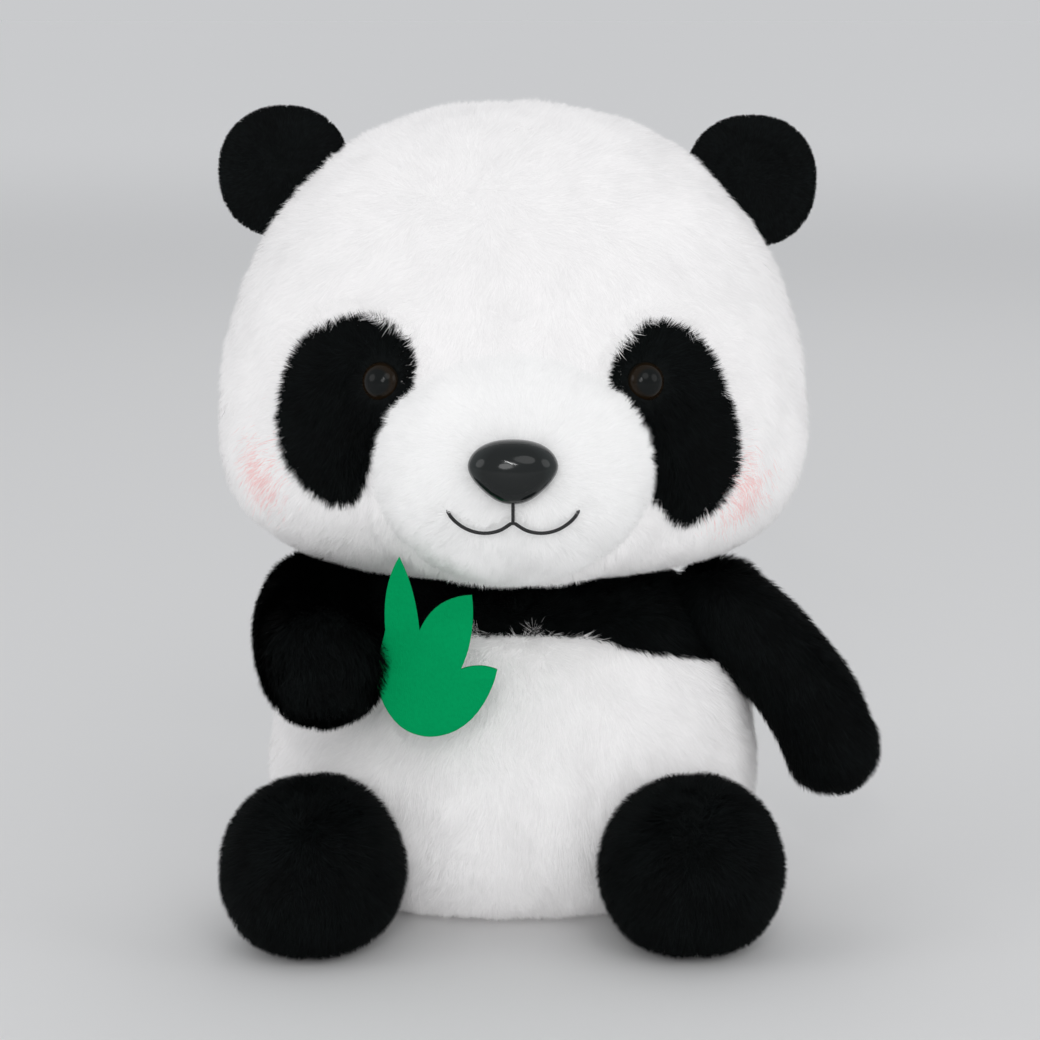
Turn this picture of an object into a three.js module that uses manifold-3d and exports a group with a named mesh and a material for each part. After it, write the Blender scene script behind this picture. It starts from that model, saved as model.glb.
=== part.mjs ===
// A seated plush panda that holds a felt bamboo sprig, as a three.js scene graph of separate solids.
// Units are millimetres, +Z is up, the panda looks along -Y, and its own left is +X.
// The origin is the middle of the seat, on the surface that the panda sits on.
import * as THREE from "three";
import { mergeVertices } from "three/addons/utils/BufferGeometryUtils.js";
import Module from "manifold-3d";

const wasm = await Module();
wasm.setup();

// ---------------------------------------------------------------- driving dimensions
const SKIN = 2; // plush backing cloth
const GAP = 0.3; // room between two pieces that touch
const FINEST = 0.04; // edges and steps smaller than this are smoothed away
const JOINT_GAP = 3.5; // room where an ear folds over the head

// Each stuffed form is an egg: a round outline turned about its axis, then flattened front to back.
const HEAD = { radius: 132, low: 160, mid: 225, high: 373, lowPower: 2.75, highPower: 2.3, depth: 0.77 };
const TORSO = { radius: 113, low: -9, mid: 58, high: 156, lowPower: 2.5, highPower: 2.6, depth: 0.82 };
const NECK = { radius: 34, low: 141, mid: 159, high: 177, lowPower: 4, highPower: 4, depth: 1 };
const NECK_SOCKET = { radius: 38.5, low: 133, mid: 159, high: 178.5, lowPower: 4, highPower: 5, depth: 1 };

const MUZZLE = { centre: [0, -88, 221], size: [60, 56, 50] };
const EYE = { x: 57.5, z: 257.5, radius: 9, dome: 6, shank: 3, length: 15, proud: 0.3, washer: 8.5 };
const PATCH = { wide: 26, tall: 43, lean: 20 }; // half widths; lean in degrees, tops towards the middle
const NOSE = { z: 225.5, size: [18.5, 11, 13], shank: 3, length: 20, taper: 0.38, washer: 7 };
const WASHER = { inner: 3.4, outer: 9, thick: 1.4, room: 0.6 };
const EAR = { y: 0, radius: 30, thick: 11 };
const THREAD = 1; // radius of the embroidered mouth line

const FOOT_SIZE = [38, 44, 38];
const HIP = { y: -60, z: 40, lift: 24 }; // lift in degrees
const HAND_SWING = 20; // degrees that the raised hand can be lowered by
const TAIL = { centre: [0, 103, 42], radius: 19 };
const YOKE_SEAM = 137; // height of the seam between the black yoke and the white belly
const SEAT_SEAM = 10; // height of the seam round the seat panel
const PELLET_BAG = { radius: 48, low: 2.6, mid: 14, high: 26, lowPower: 4, highPower: 4, depth: 1 };
const LABEL = { wide: 18, long: 34, thick: 0.8, at: [-40, 64, 9.4], droop: 8 };
const SPRIG = { thick: 2, y: -120, z: 130, lean: 8 };

// The two sides of a hand-sewn toy differ a little, so each side has its own places.
const SIDES = {
  left: {
    sign: 1,
    patch: [71.7, 240.5],
    ear: [111, 340.5],
    foot: [80.5, -96, 36],
    shoulder: [98, -18, 139],
    hand: [150, -26, 77], // this arm hangs out to the side
    upperArm: 20,
    paw: 21,
    bend: [5.5, 0, 4.5],
    armSeam: { axis: 1, at: -21, panels: ["back", "front"] },
  },
  right: {
    sign: -1,
    patch: [-74.3, 246],
    ear: [-107, 345],
    foot: [-91, -96, 36],
    shoulder: [-92, -20, 141],
    hand: [-84, -112, 136], // this arm reaches forward and holds the sprig
    upperArm: 21,
    paw: 26,
    bend: [-3, 0, 2],
    armSeam: { axis: 0, at: -90, panels: ["inner", "outer"] },
  },
};

// ---------------------------------------------------------------- materials
const plush = (color) => new THREE.MeshStandardMaterial({ color, roughness: 0.95, metalness: 0 });
const moulded = (color, roughness) => new THREE.MeshStandardMaterial({ color, roughness, metalness: 0 });
const WHITE_PLUSH = plush(0xefeeec);
const MUZZLE_PLUSH = plush(0xfaf9f7);
const BLACK_PLUSH = plush(0x0d0d10);
const FELT = plush(0x06a35b);
const FIBRE = plush(0xf4f4f0);
const BAG_CLOTH = plush(0xd8d4c8);
const SATIN = moulded(0xf6f6f6, 0.4);
const BLACK_THREAD = moulded(0x141416, 0.6);
const BLACK_GLOSS = moulded(0x1a1a1e, 0.12);
const NYLON = moulded(0xe8e8e6, 0.5);

// ---------------------------------------------------------------- solids
const panda = new THREE.Group();
const UP_Y = new THREE.Vector3(0, 1, 0);
const UP_Z = new THREE.Vector3(0, 0, 1);

// A closed three.js geometry as a manifold-3d solid.
function solid(geometry) {
  const bare = geometry.clone();
  bare.deleteAttribute("normal");
  bare.deleteAttribute("uv");
  const merged = mergeVertices(bare, 1e-3);
  return new wasm.Manifold(
    new wasm.Mesh({
      numProp: 3,
      vertProperties: merged.attributes.position.array,
      triVerts: new Uint32Array(merged.index.array),
    }),
  );
}

// Adds a named mesh to the panda, without any slivers that its cuts have left.
function piece(name, made, material) {
  const bodies = made.decompose().sort((a, b) => b.volume() - a.volume());
  const mesh = bodies[0].simplify(FINEST).getMesh();
  const geometry = new THREE.BufferGeometry();
  geometry.setAttribute("position", new THREE.BufferAttribute(new Float32Array(mesh.vertProperties), 3));
  geometry.setIndex(new THREE.BufferAttribute(mesh.triVerts, 1));
  geometry.computeVertexNormals();
  const node = new THREE.Mesh(geometry, material);
  node.name = name;
  panda.add(node);
}

// The radius of an egg at a height, and its outline from the lower pole to the upper one.
function eggRadius(egg, z) {
  const upper = z > egg.mid;
  const share = Math.min(1, Math.abs(z - egg.mid) / (upper ? egg.high - egg.mid : egg.mid - egg.low));
  const power = upper ? egg.highPower : egg.lowPower;
  return egg.radius * Math.pow(1 - Math.pow(share, power), 1 / power);
}

function eggOutline(egg, steps) {
  const points = [];
  for (let i = -steps; i <= steps; i++) {
    const turn = ((Math.PI / 2) * i) / steps;
    const power = i > 0 ? egg.highPower : egg.lowPower;
    const reach = i > 0 ? egg.high - egg.mid : egg.mid - egg.low;
    const across = Math.abs(i) === steps ? 0 : Math.pow(Math.cos(turn), 2 / power);
    const along = Math.sign(i) * Math.pow(Math.abs(Math.sin(turn)), 2 / power);
    points.push(new THREE.Vector2(egg.radius * across, egg.mid + reach * along));
  }
  return points;
}

// An egg's solid, taken in all round by inset.
function eggSolid(egg, inset = 0, segments = 20, steps = 5) {
  const inner = { ...egg, radius: egg.radius - inset, low: egg.low + inset, high: egg.high - inset };
  const flat = (egg.radius * egg.depth - inset) / inner.radius;
  const geometry = new THREE.LatheGeometry(eggOutline(inner, steps), segments);
  return solid(geometry.rotateX(Math.PI / 2).scale(1, flat, 1));
}

function ellipsoid({ centre, size }, inset = 0, across = 16, down = 8) {
  const geometry = new THREE.SphereGeometry(1, across, down).rotateX(Math.PI / 2);
  geometry.scale(...size.map((half) => half - inset)).translate(...centre);
  return solid(geometry);
}

function ball(centre, radius, across = 14) {
  return ellipsoid({ centre, size: [radius, radius, radius] }, 0, across, across / 2);
}

// A box from its lowest to its highest corner.
function block(low, high) {
  const size = low.map((value, i) => high[i] - value);
  const middle = low.map((value, i) => (high[i] + value) / 2);
  return solid(new THREE.BoxGeometry(...size).translate(...middle));
}

// What lies on one side of a plane: axis 0, 1 or 2 is X, Y or Z, and side is 1 or -1.
const FAR = 500;
function halfSpace(axis, side, at = 0) {
  const low = [-FAR, -FAR, -FAR];
  const high = [FAR, FAR, FAR];
  (side > 0 ? low : high)[axis] = at;
  return block(low, high);
}

// A round bar from one point to another.
function bar(from, to, radius, segments = 16) {
  const start = new THREE.Vector3(...from);
  const run = new THREE.Vector3(...to).sub(start);
  const geometry = new THREE.CylinderGeometry(radius, radius, run.length(), segments);
  geometry.translate(0, run.length() / 2, 0);
  geometry.applyQuaternion(new THREE.Quaternion().setFromUnitVectors(UP_Y, run.clone().normalize()));
  return solid(geometry.translate(...from));
}

// A round-ended arm from the shoulder to the paw, bowed sideways and taken in all round by inset.
function armSolid({ shoulder, hand, upperArm, paw, bend }, inset = 0, segments = 12) {
  const start = new THREE.Vector3(...shoulder);
  const run = new THREE.Vector3(...hand).sub(start);
  const length = run.length();
  const profile = [];
  const rings = 3;
  const shafts = 3;
  for (let i = 0; i < rings; i++) {
    const turn = ((Math.PI / 2) * i) / rings;
    const near = upperArm - inset;
    profile.push(new THREE.Vector2(Math.sin(turn) * near, -Math.cos(turn) * near));
  }
  for (let i = 0; i < shafts; i++) {
    const share = i / shafts;
    profile.push(new THREE.Vector2(upperArm + (paw - upperArm) * share - inset, length * share));
  }
  for (let i = 0; i <= rings; i++) {
    const turn = ((Math.PI / 2) * i) / rings;
    const across = i === rings ? 0 : Math.cos(turn) * (paw - inset);
    profile.push(new THREE.Vector2(across, length + Math.sin(turn) * (paw - inset)));
  }
  const geometry = new THREE.LatheGeometry(profile, segments);
  const places = geometry.attributes.position;
  const turned = new THREE.Quaternion().setFromUnitVectors(UP_Y, run.normalize());
  const vertex = new THREE.Vector3();
  const bow = new THREE.Vector3(...bend);
  for (let i = 0; i < places.count; i++) {
    vertex.fromBufferAttribute(places, i);
    const share = Math.min(1, Math.max(0, vertex.y / length));
    vertex.applyQuaternion(turned).add(start).addScaledVector(bow, 4 * share * (1 - share));
    places.setXYZ(i, ...vertex.toArray());
  }
  return solid(geometry);
}

// A solid swung about an axis along X through a point; a positive angle lifts what is in front.
function lifted(made, [x, y, z], degrees) {
  return made.translate([-x, -y, -z]).rotate([-degrees, 0, 0]).translate([x, y, z]);
}

// A skin of plush cut along a plane into its two halves, each trimmed for the seam.
function halves(skin, axis, at = 0) {
  return [1, -1].map((side) => skin.intersect(halfSpace(axis, side, at + (side * GAP) / 2)));
}

// ---------------------------------------------------------------- head
// The point of the head's front at x and z, with its outward direction.
function onHead(x, z) {
  const front = (px, pz) => -HEAD.depth * Math.sqrt(eggRadius(HEAD, pz) ** 2 - px ** 2);
  const slopeX = front(x + 0.5, z) - front(x - 0.5, z);
  const slopeZ = front(x, z + 0.5) - front(x, z - 0.5);
  const out = new THREE.Vector3(slopeX, -1, slopeZ).normalize();
  return { point: new THREE.Vector3(x, front(x, z), z), out };
}

// A turned piece, set on the head with its axis along the outward direction and its zero above the cloth.
function setOnHead(profile, x, z, above, segments) {
  const { point, out } = onHead(x, z);
  const geometry = new THREE.LatheGeometry(profile, segments).rotateX(Math.PI / 2);
  geometry.applyQuaternion(new THREE.Quaternion().setFromUnitVectors(UP_Z, out));
  return solid(geometry.translate(...point.addScaledVector(out, above).toArray()));
}

const profileOf = (pairs) => pairs.map(([radius, along]) => new THREE.Vector2(radius, along));
const discProfile = (radius, low, high) => profileOf([[0, low], [radius, low], [radius, high], [0, high]]);
const washerProfile = (low) =>
  profileOf([
    [WASHER.inner, low],
    [WASHER.outer, low],
    [WASHER.outer, low + WASHER.thick],
    [WASHER.inner, low + WASHER.thick],
    [WASHER.inner, low],
  ]);

// A safety eye: a domed button moulded with its shank.
function eyeProfile() {
  const points = profileOf([[0, -EYE.length], [EYE.shank, -EYE.length], [EYE.shank, 0]]);
  const rings = 5;
  for (let i = 0; i <= rings; i++) {
    const turn = ((Math.PI / 2) * i) / rings;
    const across = i === rings ? 0 : EYE.radius * Math.cos(turn);
    points.push(new THREE.Vector2(across, EYE.dome * Math.sin(turn)));
  }
  return points;
}

// The outline of an eye patch, pushed through the front of the head.
function patchPrism({ sign, patch }, grow) {
  const outline = new THREE.Shape();
  outline.absellipse(0, 0, PATCH.wide + grow, PATCH.tall + grow, 0, Math.PI * 2);
  const settings = { depth: 100, bevelEnabled: false, curveSegments: 10 };
  const geometry = new THREE.ExtrudeGeometry(outline, settings);
  geometry.rotateX(Math.PI / 2).rotateY(THREE.MathUtils.degToRad(-sign * PATCH.lean));
  return solid(geometry.translate(patch[0], -40, patch[1]));
}

function buildHead() {
  const skin = eggSolid(HEAD).subtract(eggSolid(HEAD, SKIN)).subtract(eggSolid(NECK_SOCKET));
  const front = skin.intersect(halfSpace(1, -1, -GAP / 2)).subtract(ellipsoid(MUZZLE, -GAP));
  const face = Object.values(SIDES).reduce((rest, side) => rest.subtract(patchPrism(side, GAP)), front);
  const faceHalves = halves(face, 0);
  const backHalves = halves(skin.intersect(halfSpace(1, 1, GAP / 2)), 0);
  let stuffing = eggSolid(HEAD, SKIN + GAP)
    .add(ellipsoid(MUZZLE, SKIN + GAP))
    .subtract(eggSolid(NECK_SOCKET));
  Object.entries(SIDES).forEach(([name, side], i) => {
    piece(`face_panel_${name}`, faceHalves[i], WHITE_PLUSH);
    piece(`head_back_panel_${name}`, backHalves[i], WHITE_PLUSH);
    const patch = front.intersect(patchPrism(side, 0));
    stuffing = stuffing.subtract(buildEye(name, side, patch));
  });
  buildMuzzle(stuffing);
}

// Sews on one eye patch and its eye, and returns the room that the eye takes in the stuffing.
function buildEye(name, { sign }, patch) {
  const set = (profile) => setOnHead(profile, sign * EYE.x, EYE.z, EYE.proud, 14);
  const shankHole = set(discProfile(EYE.shank + GAP, -EYE.length, 10));
  piece(`eye_patch_${name}`, patch.subtract(shankHole), BLACK_PLUSH);
  piece(`eye_${name}`, set(eyeProfile()), BLACK_GLOSS);
  piece(`eye_washer_${name}`, set(washerProfile(-EYE.washer)), NYLON);
  return set(discProfile(WASHER.outer + WASHER.room, -EYE.length - 2, 10));
}

// The muzzle is a cup of shorter plush, sewn into the opening in the face.
function buildMuzzle(headStuffing) {
  const tipY = MUZZLE.centre[1] - MUZZLE.size[1];
  const through = (from, to, radius) => bar([0, tipY + from, NOSE.z], [0, tipY + to, NOSE.z], radius, 14);
  const cup = ellipsoid(MUZZLE).subtract(ellipsoid(MUZZLE, SKIN)).subtract(eggSolid(HEAD, SKIN));
  piece("muzzle_panel", cup.subtract(through(-20, 20, NOSE.shank + GAP)), MUZZLE_PLUSH);
  const washerRoom = through(-10, NOSE.length + 2, WASHER.outer + WASHER.room);
  piece("head_stuffing", headStuffing.subtract(washerRoom), FIBRE);

  // The nose is a rounded triangle, wide at the top, moulded with its shank.
  const shape = new THREE.SphereGeometry(1, 16, 10).rotateX(Math.PI / 2);
  const places = shape.attributes.position;
  for (let i = 0; i < places.count; i++) {
    places.setX(i, places.getX(i) * (1 - NOSE.taper * Math.max(0, -places.getZ(i))));
  }
  shape.scale(...NOSE.size).translate(0, tipY, NOSE.z);
  const button = solid(shape).subtract(ellipsoid(MUZZLE, -GAP));
  piece("nose", button.add(through(-2, NOSE.length, NOSE.shank)), BLACK_GLOSS);
  const washer = new THREE.LatheGeometry(washerProfile(0), 14);
  piece("nose_washer", solid(washer.translate(0, tipY + NOSE.washer, NOSE.z)), NYLON);
}

// The point of the muzzle's front at x and z, lifted off the cloth.
function onMuzzle(x, z, above) {
  const [cx, cy, cz] = MUZZLE.centre;
  const [sx, sy, sz] = MUZZLE.size.map((half) => half + above);
  return new THREE.Vector3(x, cy - sy * Math.sqrt(1 - ((x - cx) / sx) ** 2 - ((z - cz) / sz) ** 2), z);
}

// One line of the embroidered mouth: a round thread along points given as x and z.
function stitch(name, pairs, steps) {
  const path = new THREE.CatmullRomCurve3(pairs.map(([x, z]) => onMuzzle(x, z, THREAD + 0.5)));
  const section = new THREE.Shape();
  section.absellipse(0, 0, THREAD, THREAD, 0, Math.PI * 2);
  const settings = { steps, extrudePath: path, bevelEnabled: false, curveSegments: 4 };
  piece(name, solid(new THREE.ExtrudeGeometry(section, settings)), BLACK_THREAD);
}

function buildMouth() {
  stitch("philtrum_stitch", [[0, 210], [0, 207.5], [0, 205]], 2);
  const arc = [[1.7, 202.6], [6, 199.8], [12.5, 198.4], [19, 199.6], [24.5, 203], [28.5, 207.5]];
  for (const [name, { sign }] of Object.entries(SIDES)) {
    stitch(`mouth_stitch_${name}`, arc.map(([x, z]) => [sign * x, z]), 8);
  }
}

function buildEars() {
  for (const [name, { ear }] of Object.entries(SIDES)) {
    const disc = (inset, room = JOINT_GAP) => {
      const across = EAR.radius - inset;
      const geometry = new THREE.SphereGeometry(1, 20, 8).scale(across, EAR.thick - inset, across);
      return solid(geometry.translate(ear[0], EAR.y, ear[1])).subtract(eggSolid(HEAD, -room));
    };
    const [behind, before] = halves(disc(0).subtract(disc(SKIN)), 1, EAR.y);
    piece(`ear_front_${name}`, before, BLACK_PLUSH);
    piece(`ear_back_${name}`, behind, BLACK_PLUSH);
    piece(`ear_wadding_${name}`, disc(SKIN + GAP, JOINT_GAP + 1), FIBRE);
  }
}

// ---------------------------------------------------------------- torso
const onFloor = (made, floor = 0) => made.intersect(halfSpace(2, 1, floor));

function footSolid({ foot }, inset, across, down) {
  return ellipsoid({ centre: foot, size: FOOT_SIZE }, inset, across, down);
}

// The hollows where the neck, arms and legs are sewn on and press into the body as they move.
function torsoHollows() {
  const hollows = [eggSolid(NECK_SOCKET)];
  for (const side of Object.values(SIDES)) {
    const hip = [side.foot[0], HIP.y, HIP.z];
    for (const share of [0, 0.5, 1]) {
      hollows.push(lifted(footSolid(side, -2.5, 12, 6), hip, HIP.lift * share));
      const lowered = side.sign < 0 ? HAND_SWING * share : 0;
      hollows.push(lifted(armSolid(side, -2.5, 8), side.shoulder, -lowered));
    }
  }
  return hollows;
}

function buildTorso() {
  const room = torsoHollows().reduce((all, hollow) => all.add(hollow));
  const outer = onFloor(eggSolid(TORSO)).subtract(room);
  const skin = outer.subtract(onFloor(eggSolid(TORSO, SKIN), SKIN));
  const middle = skin
    .intersect(halfSpace(2, 1, SEAT_SEAM + GAP / 2))
    .intersect(halfSpace(2, -1, YOKE_SEAM - GAP / 2));
  const [backPanel, bellyPanel] = halves(middle, 1);
  const [yokeBack, yokeFront] = halves(skin.intersect(halfSpace(2, 1, YOKE_SEAM + GAP / 2)), 1);
  piece("belly_panel", bellyPanel, WHITE_PLUSH);
  piece("back_panel", backPanel, WHITE_PLUSH);
  piece("chest_yoke_front", yokeFront, BLACK_PLUSH);
  piece("chest_yoke_back", yokeBack, BLACK_PLUSH);
  piece("seat_panel", skin.intersect(halfSpace(2, -1, SEAT_SEAM - GAP / 2)), WHITE_PLUSH);

  const pocket = bar([0, 0, -1], [0, 0, PELLET_BAG.high + GAP], PELLET_BAG.radius + 1, 24);
  const stuffing = onFloor(eggSolid(TORSO, SKIN + GAP), SKIN + GAP).subtract(room).subtract(pocket);
  piece("torso_stuffing", stuffing, FIBRE);
  piece("pellet_bag", eggSolid(PELLET_BAG, 0, 20, 4), BAG_CLOTH);
  piece("neck_stuffing", eggSolid(NECK, 0, 18, 4), FIBRE);
}

function buildTailAndLabel() {
  const body = eggSolid(TORSO, -GAP);
  const tail = (inset) => ball(TAIL.centre, TAIL.radius - inset, 14).subtract(body);
  piece("tail_cover", tail(0).subtract(tail(SKIN)), WHITE_PLUSH);
  piece("tail_stuffing", tail(SKIN + GAP), FIBRE);

  const label = new THREE.BoxGeometry(LABEL.wide, LABEL.long, LABEL.thick).translate(0, LABEL.long / 2, 0);
  label.rotateX(THREE.MathUtils.degToRad(-LABEL.droop)).translate(...LABEL.at);
  piece("care_label", solid(label).subtract(body), SATIN);
}

// ---------------------------------------------------------------- limbs
function buildArm(name, side) {
  const { axis, at, panels } = side.armSeam;
  const [x, y, z] = side.shoulder;
  const inwards = [x - side.sign * 60, y, z];
  const opening = bar(side.shoulder, inwards, side.upperArm * 0.45, 12);
  const cover = armSolid(side).subtract(armSolid(side, SKIN)).subtract(opening);
  const halfCovers = halves(cover, axis, at);
  panels.forEach((panel, i) => piece(`arm_${name}_${panel}_panel`, halfCovers[i], BLACK_PLUSH));
  piece(`arm_${name}_stuffing`, armSolid(side, SKIN + GAP), FIBRE);
}

function buildLeg(name, side) {
  const whole = (inset) => onFloor(footSolid(side, inset), inset);
  const [plus, minus] = halves(whole(0).subtract(whole(SKIN)), 0, side.foot[0]);
  piece(`leg_${name}_outer_panel`, side.sign > 0 ? plus : minus, BLACK_PLUSH);
  piece(`leg_${name}_inner_panel`, side.sign > 0 ? minus : plus, BLACK_PLUSH);
  piece(`leg_${name}_stuffing`, whole(SKIN + GAP), FIBRE);
}

// ---------------------------------------------------------------- bamboo sprig
// Three leaves cut from one piece of felt, as x and height in the sprig's plane, sewn to the paw.
function buildSprig() {
  const leaf = new THREE.Shape();
  leaf.moveTo(-61, 131);
  leaf.quadraticCurveTo(-56, 104, -37, 103);
  leaf.quadraticCurveTo(-15, 104, -7, 133);
  leaf.quadraticCurveTo(-15, 137, -23, 134);
  leaf.quadraticCurveTo(-16, 149, -18, 167);
  leaf.quadraticCurveTo(-34, 167, -41, 150.5);
  leaf.quadraticCurveTo(-43, 172, -49, 184);
  leaf.quadraticCurveTo(-61, 170, -61, 152);
  leaf.closePath();
  const settings = { depth: SPRIG.thick, bevelEnabled: false, curveSegments: 5 };
  const geometry = new THREE.ExtrudeGeometry(leaf, settings).rotateX(Math.PI / 2);
  geometry.translate(0, SPRIG.thick / 2, -SPRIG.z).rotateX(THREE.MathUtils.degToRad(SPRIG.lean));
  geometry.translate(0, SPRIG.y, SPRIG.z);
  piece("bamboo_sprig", solid(geometry).subtract(armSolid(SIDES.right, -3 * GAP)), FELT);
}

buildHead();
buildMouth();
buildEars();
buildTorso();
buildTailAndLabel();
Object.entries(SIDES).forEach(([name, side]) => {
  buildArm(name, side);
  buildLeg(name, side);
});
buildSprig();

export default panda;
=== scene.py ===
"""A seated plush panda that holds a felt bamboo sprig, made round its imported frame.

Measures are in millimetres and become metres through MM. The panda looks along -Y, +Z is up
and its own left is +X. Each stuffed form is a cover of cloth with its pile grown on it.
"""
import math
from collections import namedtuple
from functools import partial

import bmesh
import bpy
import numpy as np
from bpy.props import FloatProperty, FloatVectorProperty, PointerProperty
from mathutils import Matrix, Quaternion, Vector, noise


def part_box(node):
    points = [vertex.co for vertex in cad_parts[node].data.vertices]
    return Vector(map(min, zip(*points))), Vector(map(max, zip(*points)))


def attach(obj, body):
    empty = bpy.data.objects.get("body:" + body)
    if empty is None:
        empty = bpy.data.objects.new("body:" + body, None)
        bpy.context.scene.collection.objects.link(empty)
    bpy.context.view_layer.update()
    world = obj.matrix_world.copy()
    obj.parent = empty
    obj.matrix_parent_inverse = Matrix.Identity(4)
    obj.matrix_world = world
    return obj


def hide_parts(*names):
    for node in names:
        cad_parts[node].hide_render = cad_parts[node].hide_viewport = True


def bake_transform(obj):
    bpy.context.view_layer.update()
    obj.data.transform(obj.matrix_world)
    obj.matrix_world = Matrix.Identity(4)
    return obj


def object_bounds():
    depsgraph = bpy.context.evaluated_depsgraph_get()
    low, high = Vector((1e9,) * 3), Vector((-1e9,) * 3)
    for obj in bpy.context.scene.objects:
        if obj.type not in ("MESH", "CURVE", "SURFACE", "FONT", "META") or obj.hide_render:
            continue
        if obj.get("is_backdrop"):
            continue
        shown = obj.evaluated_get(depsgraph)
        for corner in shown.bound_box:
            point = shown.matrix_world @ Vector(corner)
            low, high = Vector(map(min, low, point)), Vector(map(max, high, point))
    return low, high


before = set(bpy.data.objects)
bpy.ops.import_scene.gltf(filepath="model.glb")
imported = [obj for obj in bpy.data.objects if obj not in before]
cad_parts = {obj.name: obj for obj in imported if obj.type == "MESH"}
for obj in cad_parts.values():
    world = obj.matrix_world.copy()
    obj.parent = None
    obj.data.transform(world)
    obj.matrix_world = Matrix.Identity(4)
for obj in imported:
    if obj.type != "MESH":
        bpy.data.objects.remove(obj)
CAD_BOX = [v.copy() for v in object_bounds()]

bl_info = {
    "name": "Plush panda",
    "version": (1, 0, 0),
    "blender": (4, 5, 0),
    "location": "View3D > Sidebar > Panda",
    "description": "Makes the covers, pile, eyes, nose and sprig of a seated plush panda",
    "category": "Add Mesh",
}

MM = 0.001

# --- forms, in millimetres
Egg = namedtuple("Egg", "radius low mid high low_power high_power depth")
HEAD = Egg(132, 160, 225, 373, 2.75, 2.3, 0.77)
TORSO = Egg(113, -9, 58, 156, 2.5, 2.6, 0.82)
NECK = Egg(34, 141, 159, 177, 4, 4, 1)
MUZZLE_CENTRE = np.array([0.0, -88.0, 221.0])
MUZZLE_SIZE = np.array([60.0, 56.0, 50.0])
FOOT_SIZE = np.array([38.0, 44.0, 38.0])
EAR_SIZE = np.array([30.0, 11.0, 30.0])
TAIL_CENTRE = (0, 103, 42)
TAIL_SIZE = (19, 19, 19)
YOKE_SEAM = 138
YOKE_SAG = 0.0021  # how far the seam drops towards the sides, over the square of x
FLOOR = 0.4  # where cloth that rests on the floor lies
FACE_BACK = -20  # y behind which nothing belongs to the face
SNOUT_BACK = -110  # y behind which the muzzle's pile is clear of the nose and the mouth
FAR = 99.0
WELL_INSIDE = 9.0  # further inside a panel than its ragged edge reaches

EYE_SPOT = (57.5, 257.5)
EYE_RADIUS = 9
EYE_DOME = 7.5
NOSE_CENTRE = (0, -146, 226)
NOSE_SIZE = (19.6, 12, 13.8)
MOUTH = [(0.3, 203.6), (6, 199.8), (12.5, 198.4), (19, 199.6), (24.5, 203), (28.5, 207.5)]
PHILTRUM = [(0, 213), (0, 208), (0, 202.6)]
THREAD_RADIUS = 0.78
BLUSHES = [(104, -66, 206), (-114, -56, 212)]
BLUSH_RADIUS = 12.0

# Each eye patch's seam, as x and height on the front of the head.
PATCHES = {
    "left": [
        (64.5, 281.5), (52, 276), (44, 264), (46, 252), (53.5, 240), (58, 227), (59.5, 214),
        (69.5, 201), (77.5, 193.5), (90, 202), (98, 216), (96.5, 233), (90, 256), (80, 273),
    ],
    "right": [
        (-62.5, 284), (-52, 279), (-45, 268), (-46, 254.5), (-52.5, 240), (-62, 231.5),
        (-65, 220), (-69, 209), (-78.5, 203.5), (-94, 212), (-103.5, 232), (-99.5, 258),
        (-88.5, 275),
    ],
}

# The two sides of a hand-sewn toy differ a little, so each has its own places.
Side = namedtuple("Side", "sign ear foot shoulder hand upper_arm paw bend")
SIDES = {
    "left": Side(
        1, (111, 0, 340.5), (80.5, -96, 36), (98, -18, 139), (150, -26, 77), 20, 21, (5.5, 0, 4.5)
    ),
    "right": Side(
        -1, (-107, 0, 345), (-91, -96, 36), (-92, -20, 141), (-84, -112, 136), 21, 26, (-3, 0, 2)
    ),
}
ARM_SHAFT = math.radians(38)  # directions tilted less than this lie along an arm's shaft

# The felt sprig: corners and, between them, what each edge bows towards, as x and height.
SPRIG = [
    (-61, 131), (-56, 104), (-37, 103), (-15, 104), (-7, 133), (-15, 137), (-23, 134), (-16, 149),
    (-18, 168), (-34, 168), (-41, 152), (-43, 173), (-49.5, 186), (-57.5, 172), (-56, 152),
]
SPRIG_HINGE = Vector((0, -120, 130))  # what the felt leans about
SPRIG_LEAN = math.radians(8)

# The pile of one kind of plush. Lengths in millimetres, strands to a square millimetre, degrees.
# White strands glow through one another, so they cast no shade on their neighbours.
Coat = namedtuple(
    "Coat", "plush strand length width density lay clump drift normal seed shades"
)
STRANDS = {
    "down": [(1.0, 0.0), (0.0, 0.0)],
    "hair": [(1.0, 0.0), (0.75, 0.10), (0.0, 0.02)],
}
MOST_TRIANGLES = 200000  # in one piece
# How the nap wanders, slowly and quickly: waves to a metre, and how much.
SLOW, QUICK = (42.0, 1.5), (240.0, 1.2)
TUFTS = 150.0  # to a metre
STRAY = 0.22  # how much single strands turn from the nap
LEAST_NAP = 0.7


# --- node trees
class Wire:
    """An output socket of a node tree that takes part in Python sums."""

    def __init__(self, tree, socket):
        self.tree, self.socket = tree, socket

    def maths(self, operation, *terms):
        return Nodes(self.tree).add("ShaderNodeMath", dict(enumerate(terms)), operation=operation)

    def __add__(self, other):
        return self.maths("ADD", self, other)

    __radd__ = __add__

    def __mul__(self, other):
        return self.maths("MULTIPLY", self, other)

    __rmul__ = __mul__

    def __sub__(self, other):
        return self.maths("SUBTRACT", self, other)

    def __rsub__(self, other):
        return self.maths("SUBTRACT", other, self)

    def __rtruediv__(self, other):
        return self.maths("DIVIDE", other, self)


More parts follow.
